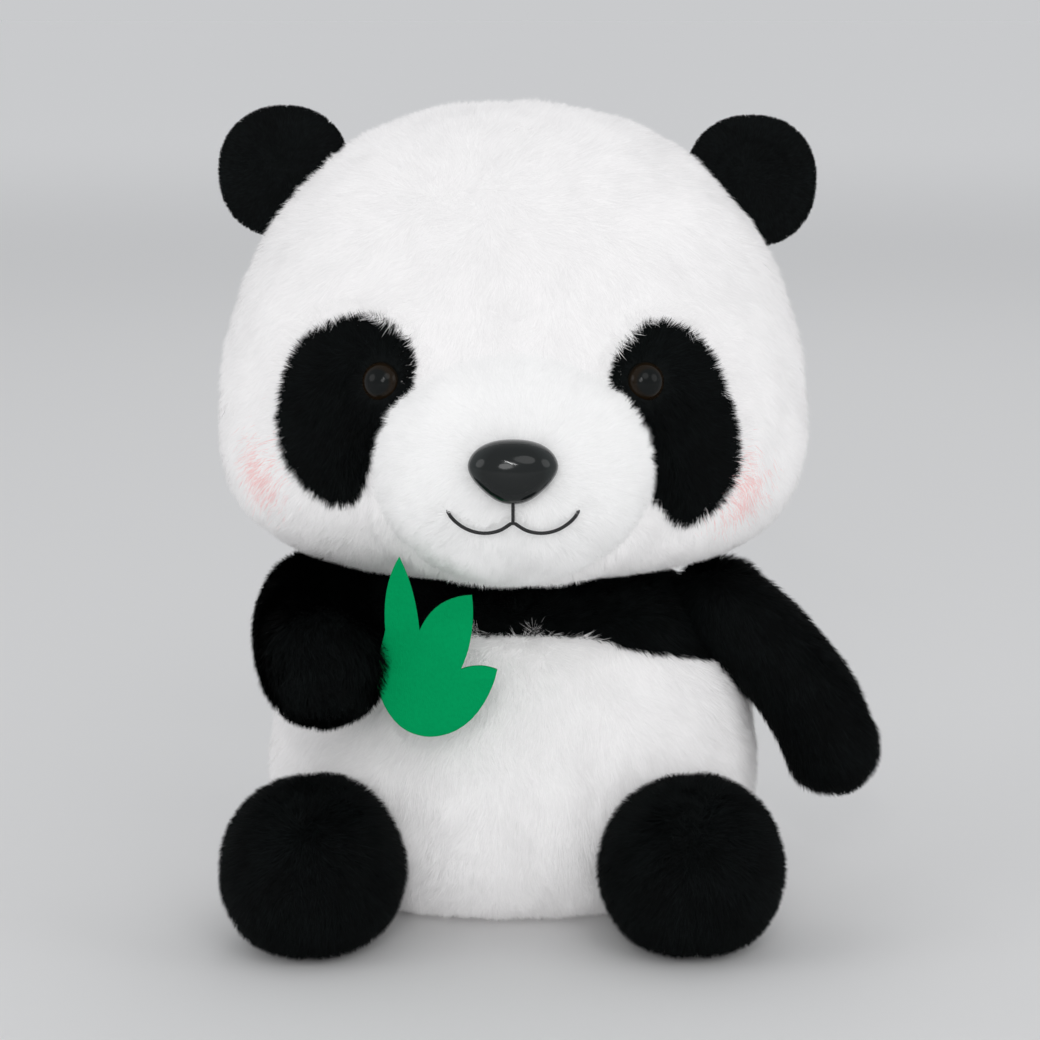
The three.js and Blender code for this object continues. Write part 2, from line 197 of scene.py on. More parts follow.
class Nodes:
    """Adds nodes to a tree: type, socket values or links, and settings."""

    def __init__(self, tree):
        self.tree = tree

    def add(self, kind, sockets=None, out=0, stops=None, **settings):
        node = self.tree.nodes.new(kind)
        for key, value in settings.items():
            setattr(node, key, value)
        if stops:
            elements = node.color_ramp.elements
            while len(elements) < len(stops):
                elements.new(0.5)
            for element, (place, colour) in zip(elements, stops):
                element.position, element.color = place, (*colour, 1)
        for key, value in (sockets or {}).items():
            found = node.inputs[key] if isinstance(key, int) else self.named(node.inputs, key)
            if isinstance(value, Wire):
                self.tree.links.new(value.socket, found)
            else:
                found.default_value = value
        return Wire(self.tree, node.outputs[out]) if node.outputs else None

    @staticmethod
    def named(sockets, key):
        """The socket with an identifier, or else the first one with that name."""
        found = [s for s in sockets if s.identifier == key] or [s for s in sockets if s.name == key]
        return found[0]

    def vector(self, operation, *terms, out=0):
        return self.add("ShaderNodeVectorMath", dict(enumerate(terms)), out, operation=operation)

    def scaled(self, vector, factor):
        return self.add("ShaderNodeVectorMath", {0: vector, "Scale": factor}, operation="SCALE")

    def mixed(self, factor, first, second):
        sockets = {"Factor_Float": factor, "A_Color": first, "B_Color": second}
        return self.add("ShaderNodeMix", sockets, "Result", data_type="RGBA")

    def noise(self, place, scale, detail=2.0, out="Fac"):
        sockets = {"Vector": place, "Scale": scale, "Detail": detail}
        return self.add("ShaderNodeTexNoise", sockets, out)

    def bumped(self, height, distance, strength):
        sockets = {"Height": height, "Distance": distance, "Strength": strength}
        return self.add("ShaderNodeBump", sockets, "Normal")


def rgba(colour):
    return (*colour, 1.0)


def new_material(name, build=None, **plain):
    """A Principled material: plain socket values, and links that build(nodes, place) returns."""
    made = bpy.data.materials.new(name)
    made.use_nodes = True
    shader = made.node_tree.nodes["Principled BSDF"]
    for key, value in plain.items():
        shader.inputs[key.replace("_", " ")].default_value = value
    if build:
        nodes = Nodes(made.node_tree)
        place = nodes.add("ShaderNodeTexCoord", out="Object")
        for key, wire in build(nodes, place).items():
            made.node_tree.links.new(wire.socket, shader.inputs[key])
    return made


# --- shaping
def smooth_step(low, high, values):
    share = np.clip((values - low) / (high - low), 0, 1)
    return share * share * (3 - 2 * share)


def ridge(distance, height, width):
    """A smooth rise of a height where a distance is nothing."""
    return height * np.exp(-((distance / width) ** 2))


def lumps(places, size, seed):
    """Slow, smooth noise from -1 to 1 at places."""
    return np.array([noise.noise(Vector(p) / size + Vector((seed, 7.3, 2.1))) for p in places])


def egg_half(egg, upper):
    """The reach and the power of an egg above its middle, or below it."""
    reach = np.where(upper, egg.high - egg.mid, egg.mid - egg.low)
    return reach, np.where(upper, egg.high_power, egg.low_power)


def egg_places(egg, spots):
    """Directions from the middle of an egg as places on its surface."""
    reach, power = egg_half(egg, spots[:, 2] > 0)
    across = np.hypot(spots[:, 0], spots[:, 1]) / egg.radius
    scale = (across**power + (np.abs(spots[:, 2]) / reach) ** power) ** (-1 / power)
    return spots * scale[:, None] * (1, egg.depth, 1) + (0, 0, egg.mid)


def ball_places(centre, size, spots, power=2.0):
    """Directions as places on a ball that may be flattened or squared."""
    scale = (np.abs(spots) ** power).sum(1) ** (-1 / power)
    return spots * scale[:, None] * np.array(size, float) + np.array(centre, float)


def arm_places(side, spots):
    """Directions as places on a round-ended, bowed arm, with the first end at the shoulder."""
    start, end, bow = (np.array(v, float) for v in (side.shoulder, side.hand, side.bend))
    run = end - start
    turn = np.array(Vector(run).to_track_quat("Z", "Y").to_matrix())
    tilt = np.arcsin(np.clip(spots[:, 2], -1, 1))
    share = np.clip((tilt / ARM_SHAFT + 1) / 2, 0, 1)
    radius = side.upper_arm + (side.paw - side.upper_arm) * share
    quarter = math.pi / 2
    cap = np.clip((np.abs(tilt) - ARM_SHAFT) / (quarter - ARM_SHAFT), 0, 1) * quarter
    cap *= np.sign(tilt)
    flat = spots[:, :2] / np.maximum(np.hypot(*spots[:, :2].T), 1e-9)[:, None]
    height = share * np.linalg.norm(run) + radius * np.sin(cap)
    local = np.column_stack([flat * (radius * np.cos(cap))[:, None], height])
    return local @ turn.T + start + bow * (4 * share * (1 - share))[:, None]


def settled(places, soft=3.0):
    """Places pressed flat, with a soft edge, where they would go through the floor."""
    above = places[:, 2] - FLOOR
    places[:, 2] = FLOOR + (above + np.sqrt(above * above + soft * soft)) / 2
    return places


def rounded(outline, rounds=3):
    """A closed outline with its corners cut and cut again."""
    points = np.array(outline, float)
    for _ in range(rounds):
        ahead = np.roll(points, -1, axis=0)
        pairs = np.stack([points * 0.75 + ahead * 0.25, points * 0.25 + ahead * 0.75], 1)
        points = pairs.reshape(-1, 2)
    return points


def outline_distance(flat, outline, closed=True):
    """How far points lie from an outline, below zero inside it, and the way out from it."""
    ends = np.roll(outline, -1, axis=0) if closed else outline[1:]
    starts = outline if closed else outline[:-1]
    best = np.full(len(flat), 1e9)
    away = np.zeros((len(flat), 2))
    inside = np.zeros(len(flat), bool)
    for a, b in zip(starts, ends):
        run = b - a
        share = np.clip(((flat - a) @ run) / max(run @ run, 1e-9), 0, 1)
        gap = flat - (a + share[:, None] * run)
        length = np.linalg.norm(gap, axis=1)
        nearer = length < best
        best, away = np.where(nearer, length, best), np.where(nearer[:, None], gap, away)
        if closed:
            crosses = (a[1] > flat[:, 1]) != (b[1] > flat[:, 1])
            rise = run[1] if abs(run[1]) > 1e-9 else 1e-9
            inside ^= crosses & (flat[:, 0] < a[0] + (flat[:, 1] - a[1]) * run[0] / rise)
    sign = np.where(inside, -1.0, 1.0)
    return best * sign, away * (sign / np.maximum(best, 1e-6))[:, None]


# --- pieces
def link(name, made, materials):
    """Puts a finished bmesh or mesh into the scene as a smooth-shaded object."""
    mesh = made
    if isinstance(made, bmesh.types.BMesh):
        mesh = bpy.data.meshes.new(name)
        made.to_mesh(mesh)
        made.free()
    mesh.name = name
    for material in materials:
        mesh.materials.append(material)
    mesh.polygons.foreach_set("use_smooth", [True] * len(mesh.polygons))
    piece = bpy.data.objects.new(name, mesh)
    bpy.context.scene.collection.objects.link(piece)
    return piece


def sewn(piece, body, slot, *nodes):
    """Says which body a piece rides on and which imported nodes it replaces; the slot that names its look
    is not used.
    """
    if body:
        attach(piece, body)
    if nodes:
        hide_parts(*nodes)
    return piece


def cover(
    name, shape, cloth, body, nodes, dent=None, seed=1.0, lump=0.7, rounds=5, low=False
):
    """A closed, stuffed cover: a ball of cloth drawn to its shape, lumpy and pulled in at seams.

    Returns it with its places and the ways out from it, one to a vertex.
    """
    bm = bmesh.new()
    bmesh.ops.create_icosphere(bm, subdivisions=rounds, radius=1)
    places = shape(np.array([v.co for v in bm.verts], float))
    if low:
        places = settled(places)
    for vertex, place in zip(bm.verts, places):
        vertex.co = place
    bm.normal_update()
    depth = lumps(places, 38, seed) * lump + lumps(places, 15, seed + 3) * lump * 0.35
    if dent:
        depth = depth - dent(places)
    normals = np.array([v.normal for v in bm.verts], float)
    for vertex, place, normal, by in zip(bm.verts, places, normals, depth):
        vertex.co = (place + normal * by) * MM
        vertex.co.z = max(vertex.co.z, FLOOR * MM)
    bmesh.ops.recalc_face_normals(bm, faces=bm.faces)
    piece = link(name, bm, [finish(f"{cloth}_cloth")])
    sewn(piece, body, "white_plush" if cloth == "body" else f"{cloth}_plush", *nodes)

    def read(key):
        values = np.zeros(len(piece.data.vertices) * 3, np.float32)
        piece.data.vertices.foreach_get(key, values)
        return values.reshape(-1, 3).astype(float)

    return piece, read("co") / MM, read("normal")


# --- pile
def make_strand(name, rows):
    """One bowed strand, a unit wide and a unit long, from its (share of width, bow) rows."""
    bm = bmesh.new()
    bmesh.ops.create_grid(bm, x_segments=1, y_segments=len(rows) - 1, size=0.5)
    for vertex in bm.verts:
        share = vertex.co.y + 0.5
        across, bow = rows[round(share * (len(rows) - 1))]
        vertex.co = (vertex.co.x * across, bow, share)
    bmesh.ops.remove_doubles(bm, verts=bm.verts, dist=1e-5)
    bmesh.ops.reverse_faces(bm, faces=bm.faces)
    strand = link(name, bm, [])
    strand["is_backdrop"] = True
    strand.hide_render = True
    return strand


def pile_tree(coat, blushing):
    """The nodes that scatter strands over a cover and lie them along its nap."""
    tree = bpy.data.node_groups.new("pile", "GeometryNodeTree")
    for way in ("INPUT", "OUTPUT"):
        tree.interface.new_socket("Geometry", in_out=way, socket_type="NodeSocketGeometry")
    nodes = Nodes(tree)
    add, scaled, vector = nodes.add, nodes.scaled, nodes.vector
    cloth = add("NodeGroupInput")
    place = add("GeometryNodeInputPosition")

    def stored(name, kind="FLOAT"):
        return add("GeometryNodeInputNamedAttribute", {"Name": name}, data_type=kind)

    def keep_value(points, name, value, kind="FLOAT"):
        sockets = {"Geometry": points, "Name": name, "Value": value}
        return add("GeometryNodeStoreNamedAttribute", sockets, data_type=kind, domain="POINT")

    def compared(value, operation, limit):
        return add("FunctionNodeCompare", {0: value, 1: limit}, operation=operation)

    def chance(low, high, seed):
        sockets = {"Min_001": low, "Max_001": high, "Seed": coat.seed + seed}
        return add("FunctionNodeRandomValue", sockets, 1, data_type="FLOAT")

    def drifting(scale, amount):
        colour = nodes.noise(place, scale, out="Color")
        return scaled(vector("SUBTRACT", colour, (0.5, 0.5, 0.5)), amount * coat.drift)

    # Where strands stand, with a ragged edge to the panel.
    spread = {"Mesh": cloth, "Density": stored("cover") * (coat.density * 1e6), "Seed": coat.seed}
    points = add("GeometryNodeDistributePointsOnFaces", spread, distribute_method="RANDOM")
    normal = Wire(tree, points.socket.node.outputs["Normal"])
    ragged = stored("keep") + (nodes.noise(place, 300.0) * 1.6 - 0.8)
    beyond = {"Geometry": points, "Selection": compared(ragged, "LESS_THAN", 0.0)}
    points = add("GeometryNodeDeleteGeometry", beyond, domain="POINT")

    # The nap drifts slowly and quickly, gathers into tufts and strays a little.
    slow, quick = drifting(*SLOW), drifting(*QUICK)
    warped = vector("ADD", place, scaled(slow, 0.004))
    tuft = add("ShaderNodeTexVoronoi", {"Vector": warped, "Scale": TUFTS}, "Position")
    tuft = scaled(vector("SUBTRACT", tuft, place), coat.clump / (coat.length * MM))
    stray = {"Min": (-1, -1, -1), "Max": (1, 1, 1), "Seed": coat.seed + 3}
    stray = scaled(add("FunctionNodeRandomValue", stray, data_type="FLOAT_VECTOR"), STRAY)
    nap = stored("comb", "FLOAT_VECTOR")
    for more in (slow, quick, tuft, stray):
        nap = vector("ADD", nap, more)
    rise = vector("DOT_PRODUCT", nap, normal, out="Value")
    nap = vector("SUBTRACT", nap, scaled(normal, rise))
    stretch = LEAST_NAP / vector("LENGTH", nap, out="Value")
    nap = scaled(nap, stretch.maths("MAXIMUM", stretch, 1.0))

    # Each strand leans along the nap, faces out and is a little rolled.
    lay = math.radians(coat.lay)
    along = vector("ADD", scaled(normal, math.cos(lay)), scaled(nap, math.sin(lay)))
    along = {"Vector": vector("NORMALIZE", along)}
    turn = add("FunctionNodeAlignRotationToVector", along, axis="Z")
    facing = {"Rotation": turn, "Vector": normal}
    turn = add("FunctionNodeAlignRotationToVector", facing, axis="Y", pivot_axis="Z")
    roll = add("ShaderNodeCombineXYZ", {"Z": chance(-0.6, 0.6, 7)})
    rolled = {"Rotation": turn, "Rotate By": roll}
    turn = add("FunctionNodeRotateRotation", rolled, rotation_space="LOCAL")
    length = stored("length") * chance(0.7, 1.12, 11) * MM
    width = chance(coat.width * 0.7 * MM, coat.width * 1.3 * MM, 13)
    size = add("ShaderNodeCombineXYZ", {"X": width, "Y": length, "Z": length})

    tone = chance(0.0, 1.0, 17) * 0.6 + nodes.noise(place, 60.0) * 0.8 - 0.2
    skin = vector("ADD", normal, vector("ADD", scaled(slow, 0.5), scaled(quick, 0.6)))
    points = keep_value(points, "tone", tone)
    points = keep_value(points, "skin", vector("NORMALIZE", skin), "FLOAT_VECTOR")
    if blushing:
        points = keep_value(points, "pink", stored("blush") - chance(0.0, 1.0, 19))
    strand = add("GeometryNodeObjectInfo", {"Object": bpy.data.objects[coat.strand]}, "Geometry")
    sockets = {"Points": points, "Instance": strand, "Rotation": turn, "Scale": size}
    made = add("GeometryNodeRealizeInstances", {0: add("GeometryNodeInstanceOnPoints", sockets)})

    tones = finish(f"{coat.plush}_pile")
    made = add("GeometryNodeSetMaterial", {"Geometry": made, "Material": tones[0]})
    steps = [(stored("tone"), (i + 1) / len(tones), tone) for i, tone in enumerate(tones[1:])]
    if blushing:
        steps.append((stored("pink"), 0.0, finish("blush_pile")))
    for value, limit, tone in steps:
        picked = compared(value, "GREATER_THAN", limit)
        sockets = {"Geometry": made, "Material": tone, "Selection": picked}
        made = add("GeometryNodeSetMaterial", sockets)
    made = add("GeometryNodeSetShadeSmooth", {"Geometry": made})

    # A strand takes most of its shading from the cloth that it grows on.
    own = scaled(add("GeometryNodeInputNormal"), 1 - coat.normal)
    shared = vector("ADD", scaled(stored("skin", "FLOAT_VECTOR"), coat.normal), own)
    sockets = {"Mesh": made, "Custom Normal": vector("NORMALIZE", shared)}
    made = add("GeometryNodeSetMeshNormal", sockets, mode="FREE", domain="POINT")
    add("NodeGroupOutput", {0: made})
    return tree


def put(mesh, name, values):
    """Stores a number or a vector for each vertex."""
    kind, field = ("FLOAT_VECTOR", "vector") if np.ndim(values) == 2 else ("FLOAT", "value")
    stored = mesh.attributes.new(name, kind, "POINT")
    stored.data.foreach_set(field, values.astype(np.float32).ravel())


def pile(name, skin, coat, body, nap, keep=WELL_INSIDE, share=1.0, thin=1.0, blush=None):
    """Grows the pile of one panel on a cover.

    For each of the cover's vertices: the way of the nap, how far inside the panel it lies, and
    shares of the coat's length, of its density and of the blush.
    """
    mesh = skin.data.copy()
    count = len(mesh.vertices)
    put(mesh, "comb", np.broadcast_to(nap, (count, 3)))
    for key, values in (("keep", keep), ("length", coat.length * share), ("cover", thin)):
        put(mesh, key, np.broadcast_to(values, count))
    if blush is not None:
        put(mesh, "blush", blush)
    grown = link(name, mesh, [])
    modifier = grown.modifiers.new("pile", "NODES")
    modifier.node_group = tree = pile_tree(coat, blush is not None)
    evaluated = grown.evaluated_get(bpy.context.evaluated_depsgraph_get())
    made = bpy.data.meshes.new_from_object(evaluated)
    grown.modifiers.clear()
    bpy.data.node_groups.remove(tree)
    made.materials.pop(index=0)  # the bare strand's empty slot
    grown.data = made
    bpy.data.meshes.remove(mesh)
    for spare in ("comb", "keep", "length", "cover", "blush", "tone", "skin", "pink"):
        if spare in made.attributes:
            made.attributes.remove(made.attributes[spare])
    places = np.zeros(len(made.vertices) * 3, np.float32)
    made.vertices.foreach_get("co", places)
    places[2::3] = np.maximum(places[2::3], 0.75 * FLOOR * MM)
    made.vertices.foreach_set("co", places)
    grown.visible_shadow = grown.visible_diffuse = coat.shades
    triangles = len(made.loops) - 2 * len(made.polygons)
    if not 0 < triangles < MOST_TRIANGLES:
        raise RuntimeError(f"{name} has {triangles} triangles")
    return sewn(grown, body, f"{coat.plush}_plush")


# --- finishes
def cloth_finish(name, light, dark, yoke=None):
    """Plush backing cloth, flecked by its pile's roots, with a yoke's colour above its seam."""

    def build(nodes, place):
        fleck = nodes.noise(place, 260.0, 3.0)
        colour = nodes.mixed(fleck, rgba(dark), rgba(light))
        if yoke:
            aside, height = (nodes.add("ShaderNodeSeparateXYZ", {0: place}, axis) for axis in "XZ")
            level = height + aside * aside * (YOKE_SAG / MM)
            above = level.maths("GREATER_THAN", level, YOKE_SEAM * MM)
            colour = nodes.mixed(above, colour, rgba(yoke))
        knit = nodes.noise(place, 1500.0)
        return {"Base Color": colour, "Normal": nodes.bumped(fleck + knit * 0.4, 0.0005, 0.5)}

    return new_material(name, build, Roughness=0.95, Specular_IOR_Level=0.15)


def strand_finishes(name, colours, **plain):
    """Plain finishes for strands, from the commonest tone to the rarest."""
    return [
        new_material(f"{name}_{i}", None, Base_Color=rgba(colour), **plain)
        for i, colour in enumerate(colours)
    ]


def moulded_finish(name, deep, rim, centre, axis, reach, shine=0.14):
    """Glossy moulded plastic, with a lighter ring round the middle of its face: an eye's coloured iris, and
    on the nose a painted reflection.
    """

    def build(nodes, place):
        gap = nodes.vector("SUBTRACT", place, tuple(v * MM for v in centre))
        along = nodes.vector("DOT_PRODUCT", gap, tuple(axis), out="Value")
        across = nodes.vector("SUBTRACT", gap, nodes.scaled(tuple(axis), along))
        share = nodes.vector("LENGTH", across, out="Value") * (1 / (reach * MM))
        # The ring is an eye's iris; on the nose it is a painted reflection round its edge.
        rings = [(0.0, deep), (0.58, deep), (0.74, rim), (0.9, rim), (1.0, deep)]
        return {
            "Base Color": nodes.add("ShaderNodeValToRGB", {0: share}, stops=rings),
            "Roughness": nodes.noise(place, 320.0, 3.0) * 0.08 + 0.07,
            "Normal": nodes.bumped(nodes.noise(place, 90.0), 0.0002, 0.25),
        }

    return new_material(name, build, Specular_IOR_Level=shine)


def eye_finish(name, colours):
    spot, out = eye_spot(SIDES[name.split("_")[-1]].sign)
    return moulded_finish(name, colours.plastic, colours.iris, spot, out, EYE_RADIUS)


def nylon_finish(name, colour, roughness):
    """Smooth or woven nylon, a little cloudy."""

    def build(nodes, place):
        cloud = nodes.noise(place, 220.0, 3.0)
        return {
            "Base Color": nodes.mixed(cloud, *map(rgba, shades(colour, 0.82, 1.0))),
            "Roughness": cloud * 0.2 + (roughness - 0.1),
            "Normal": nodes.bumped(nodes.noise(place, 900.0), 0.0002, 0.4),
        }

    return new_material(name, build)


def thread_finish(name, colour):
    """Twisted embroidery thread."""

    def build(nodes, place):
        sockets = {"Vector": place, "Scale": 420.0, "Distortion": 1.5}
        twist = nodes.add("ShaderNodeTexWave", sockets, "Fac", bands_direction="DIAGONAL")
        tint = nodes.mixed(twist, *map(rgba, shades(colour, 0.5, 1.6)))
        return {"Base Color": tint, "Normal": nodes.bumped(twist, 0.0003, 0.8)}

    return new_material(name, build, Roughness=0.55)


def felt_finish(name, light, dark):
    """Pressed wool felt: matted fibres in every direction."""

    def build(nodes, place):
        matted = nodes.noise(place, 700.0, 4.0)
        cloudy = nodes.noise(place, 45.0, 3.0)
        stretched = {"Vector": place, "Scale": (1.0, 1.0, 0.18), "Rotation": (0, 0.6, 0)}
        fibres = nodes.noise(nodes.add("ShaderNodeMapping", stretched), 2600.0)
        colour = nodes.mixed(matted * 0.6 + cloudy * 0.4, rgba(dark), rgba(light))
        normal = nodes.bumped(matted + fibres * 0.6, 0.0004, 0.55)
        return {"Base Color": colour, "Normal": normal}

    return new_material(name, build, Roughness=0.95, Specular_IOR_Level=0.05)


def shades(colour, *factors):
    return [[min(1.0, c * f) for c in colour] for f in factors]


WHITE_WAYS = {"Roughness": 0.8, "Specular_IOR_Level": 0.1, "Sheen_Weight": 0.2}
BLACK_WAYS = {"Roughness": 0.75, "Specular_IOR_Level": 0.08}
FINISHES = {}
FINISH_MAKERS = {
    "white_cloth": lambda n, c: cloth_finish(n, c.white, *shades(c.white, 0.95)),
    "muzzle_cloth": lambda n, c: cloth_finish(n, c.muzzle, *shades(c.muzzle, 0.9)),
    "black_cloth": lambda n, c: cloth_finish(n, *shades(c.black, 1.5, 1.0)),
    "body_cloth": lambda n, c: cloth_finish(n, c.white, *shades(c.white, 0.95), c.black),
    "white_pile": lambda n, c: strand_finishes(n, shades(c.white, 1.03, 0.98, 0.93), **WHITE_WAYS),
    "muzzle_pile": lambda n, c: strand_finishes(
        n, shades(c.muzzle, 1.01, 0.98, 0.945), **WHITE_WAYS
    ),
    "black_pile": lambda n, c: strand_finishes(n, shades(c.black, 0.6, 1.0, 2.0), **BLACK_WAYS),
    "blush_pile": lambda n, c: new_material(n, None, Base_Color=rgba(c.blush), **WHITE_WAYS),
    "eye_plastic_left": eye_finish,
    "eye_plastic_right": eye_finish,
    # The nose's plastic, half as light again as the eyes', and its ring, three times as light, are painted
    # reflection on glossy black.
    "nose_gloss": lambda n, c: moulded_finish(
        n, *shades(c.plastic, 1.5, 3.0), NOSE_CENTRE, (0, -1, 0), 22, 0.3
    ),
    "mouth_thread": lambda n, c: thread_finish(n, c.thread),
    "felt": lambda n, c: felt_finish(n, c.felt, *shades(c.felt, 0.72)),
    "washer_gloss": lambda n, c: nylon_finish(n, (0.80, 0.80, 0.78), 0.45),
    "pellet_cloth": lambda n, c: nylon_finish(n, (0.62, 0.58, 0.50), 0.9),
    "label_weave": lambda n, c: nylon_finish(n, (0.90, 0.90, 0.90), 0.35),
}


def finish(name):
    """A finish by name, made the first time that a piece asks for it."""
    if name not in FINISHES:
        FINISHES[name] = FINISH_MAKERS[name](name, settings()[1])
    return FINISHES[name]


# --- settings
def colour_prop(name, description, default):
    return FloatVectorProperty(
        name=name, description=description, default=default, subtype="COLOR", size=3, min=0, max=1
    )


def length_prop(name, description, default):
    return FloatProperty(
        name=name, description=description, default=default * MM, min=0, unit="LENGTH",
        subtype="DISTANCE",
    )


class PandaPile(bpy.types.PropertyGroup):
    """Lengths of the pile"""

    white: length_prop("White pile", "Length of the white pile", 9.0)
    muzzle: length_prop("Muzzle pile", "Length of the shorter pile on the muzzle", 5.5)
    black: length_prop("Black pile", "Length of the black pile", 8.0)
    ear: length_prop("Ear pile", "Length of the short pile on the ears", 2.4)
    fullness: FloatProperty(
        name="Fullness", description="How close the strands stand", default=1.0, min=0.1, max=1.2,
        subtype="FACTOR",
    )


class PandaColours(bpy.types.PropertyGroup):
    """Colours of the plush, felt and plastic"""

    white: colour_prop("White plush", "Colour of the white pile", (0.935, 0.92, 0.918))
    muzzle: colour_prop("Muzzle plush", "Colour of the muzzle's pile", (0.96, 0.955, 0.95))
    black: colour_prop("Black plush", "Colour of the black pile", (0.0024, 0.0034, 0.0035))
    blush: colour_prop("Blush", "Colour of the cheeks", (0.93, 0.58, 0.57))
    felt: colour_prop("Felt", "Colour of the bamboo sprig", (0.0, 0.37, 0.118))
    plastic: colour_prop("Plastic", "Colour of the eyes and the nose", (0.0055, 0.0068, 0.0068))
    iris: colour_prop("Iris", "Colour of the ring round each eye", (0.013, 0.008, 0.004))
    thread: colour_prop("Thread", "Colour of the mouth", (0.012, 0.012, 0.013))


class PandaStudio(bpy.types.PropertyGroup):
    """Floor, light and camera"""

    floor: colour_prop("Floor", "Colour of the floor", (0.77, 0.77, 0.77))
    sky: FloatProperty(name="Sky", description="Strength of the even light", default=1.0, min=0)
    key: FloatProperty(
        name="Key", description="Power of the main light", default=13, min=0, unit="POWER"
    )
    fill: FloatProperty(
        name="Fill", description="Power of the side lights", default=8.4, min=0, unit="POWER"
    )
    lens: FloatProperty(
        name="Lens", description="Focal length of the camera", default=100, min=10, unit="CAMERA"
    )
    distance: length_prop("Distance", "From the camera to the panda", 1360)
    tilt: FloatProperty(
        name="Tilt", description="How far the camera looks down", default=math.radians(10),
        subtype="ANGLE",
    )


def settings():
    scene = bpy.context.scene
    return scene.panda_pile, scene.panda_colours, scene.panda_studio


def coats():
    """The pile of each kind of plush."""
    piled = settings()[0]
    full = piled.fullness
    white, muzzle, black, ear = (
        getattr(piled, kind) / MM for kind in ("white", "muzzle", "black", "ear")
    )
    return {
        "white": Coat("white", "down", white, 0.50, 3.0 * full, 67, 0.36, 1.35, 0.5, 5, False),
        "muzzle": Coat("muzzle", "down", muzzle, 0.42, 4.0 * full, 64, 0.28, 1.2, 0.5, 29, False),
        "black": Coat("black", "down", black, 0.56, 3.4 * full, 60, 0.25, 0.9, 0.6, 41, True),
        "ear": Coat("black", "hair", ear, 0.36, 2.4 * full, 62, 0.12, 0.8, 0.7, 57, True),
    }


# --- the head
CROWN = (262, 290)  # heights between which the middle seam over the head shows
PANEL_LAP = 0.9  # how far the pile of a panel laps over the seam to its neighbour
SEAM_LAP = 0.4  # and over a seam where the colour changes


def head_spot(x, z):
    """The point on the front of the head's cloth at x and z, and its way out."""

    def front(px, pz):
        reach, power = egg_half(HEAD, pz > HEAD.mid)
        radius = HEAD.radius * (1 - (abs(pz - HEAD.mid) / reach) ** power) ** (1 / power)
        return -HEAD.depth * math.sqrt(radius**2 - px**2)

    across = front(x + 0.5, z) - front(x - 0.5, z)
    up = front(x, z + 0.5) - front(x, z - 0.5)
    return Vector((x, front(x, z), z)), Vector((across, -1, up)).normalized()


def eye_spot(sign):
    return head_spot(sign * EYE_SPOT[0], EYE_SPOT[1])


def muzzle_spot(x, z, above):
    """The point on the front of the muzzle at x and z, so far above its cloth."""
    size = MUZZLE_SIZE + above
    drop = 1 - ((x - MUZZLE_CENTRE[0]) / size[0]) ** 2 - ((z - MUZZLE_CENTRE[2]) / size[2]) ** 2
    return Vector((x, MUZZLE_CENTRE[1] - size[1] * math.sqrt(drop), z))


def muzzle_share(places):
    """How far places lie from the muzzle's middle, with 1 at its cloth."""
    return np.linalg.norm((places - MUZZLE_CENTRE) / MUZZLE_SIZE, axis=1)


def nearest_of(distances, ways):
    """The least of several distances at each place, and the way that goes with it."""
    picked = np.argmin(distances, axis=0), np.arange(len(distances[0]))
    return np.stack(distances)[picked], np.stack(ways)[picked]


def in_space(ways):
    """Ways across the front, in x and z, as ways in space."""
    return np.insert(ways, 1, 0, axis=1)


def patch_fields(places):
    """Distance from each patch's seam over the front, and the way out of the nearer one."""
    fields = [outline_distance(places[:, [0, 2]], rounded(PATCHES[name])) for name in SIDES]
    left, right = (np.where(places[:, 1] > FACE_BACK, FAR, distance) for distance, _ in fields)
    away = nearest_of((left, right), [way for _, way in fields])[1]
    return left, right, in_space(away)


def eye_gap(places):
    """Distance to the nearer eye and the way from it."""
    gaps = [places - np.array(eye_spot(side.sign)[0]) for side in SIDES.values()]
    length, gap = nearest_of([np.linalg.norm(g, axis=1) for g in gaps], gaps)
    return length, gap / np.maximum(length, 1e-6)[:, None]


def blended(first, second, share):
    """Ways that turn from first to second as a share goes from 0 to 1."""
    share = share[:, None]
    return first * (1 - share) + second * share


def falling(places, sideways, down):
    """A nap that lies across the top, then falls, spreading to both sides."""
    top = smooth_step(300, 345, places[:, 2])
    aside = np.tanh(places[:, 0] / 60) * sideways + 0.35 * top
    return np.column_stack([aside, 0.2 + 0.8 * top, np.full(len(places), -down)])


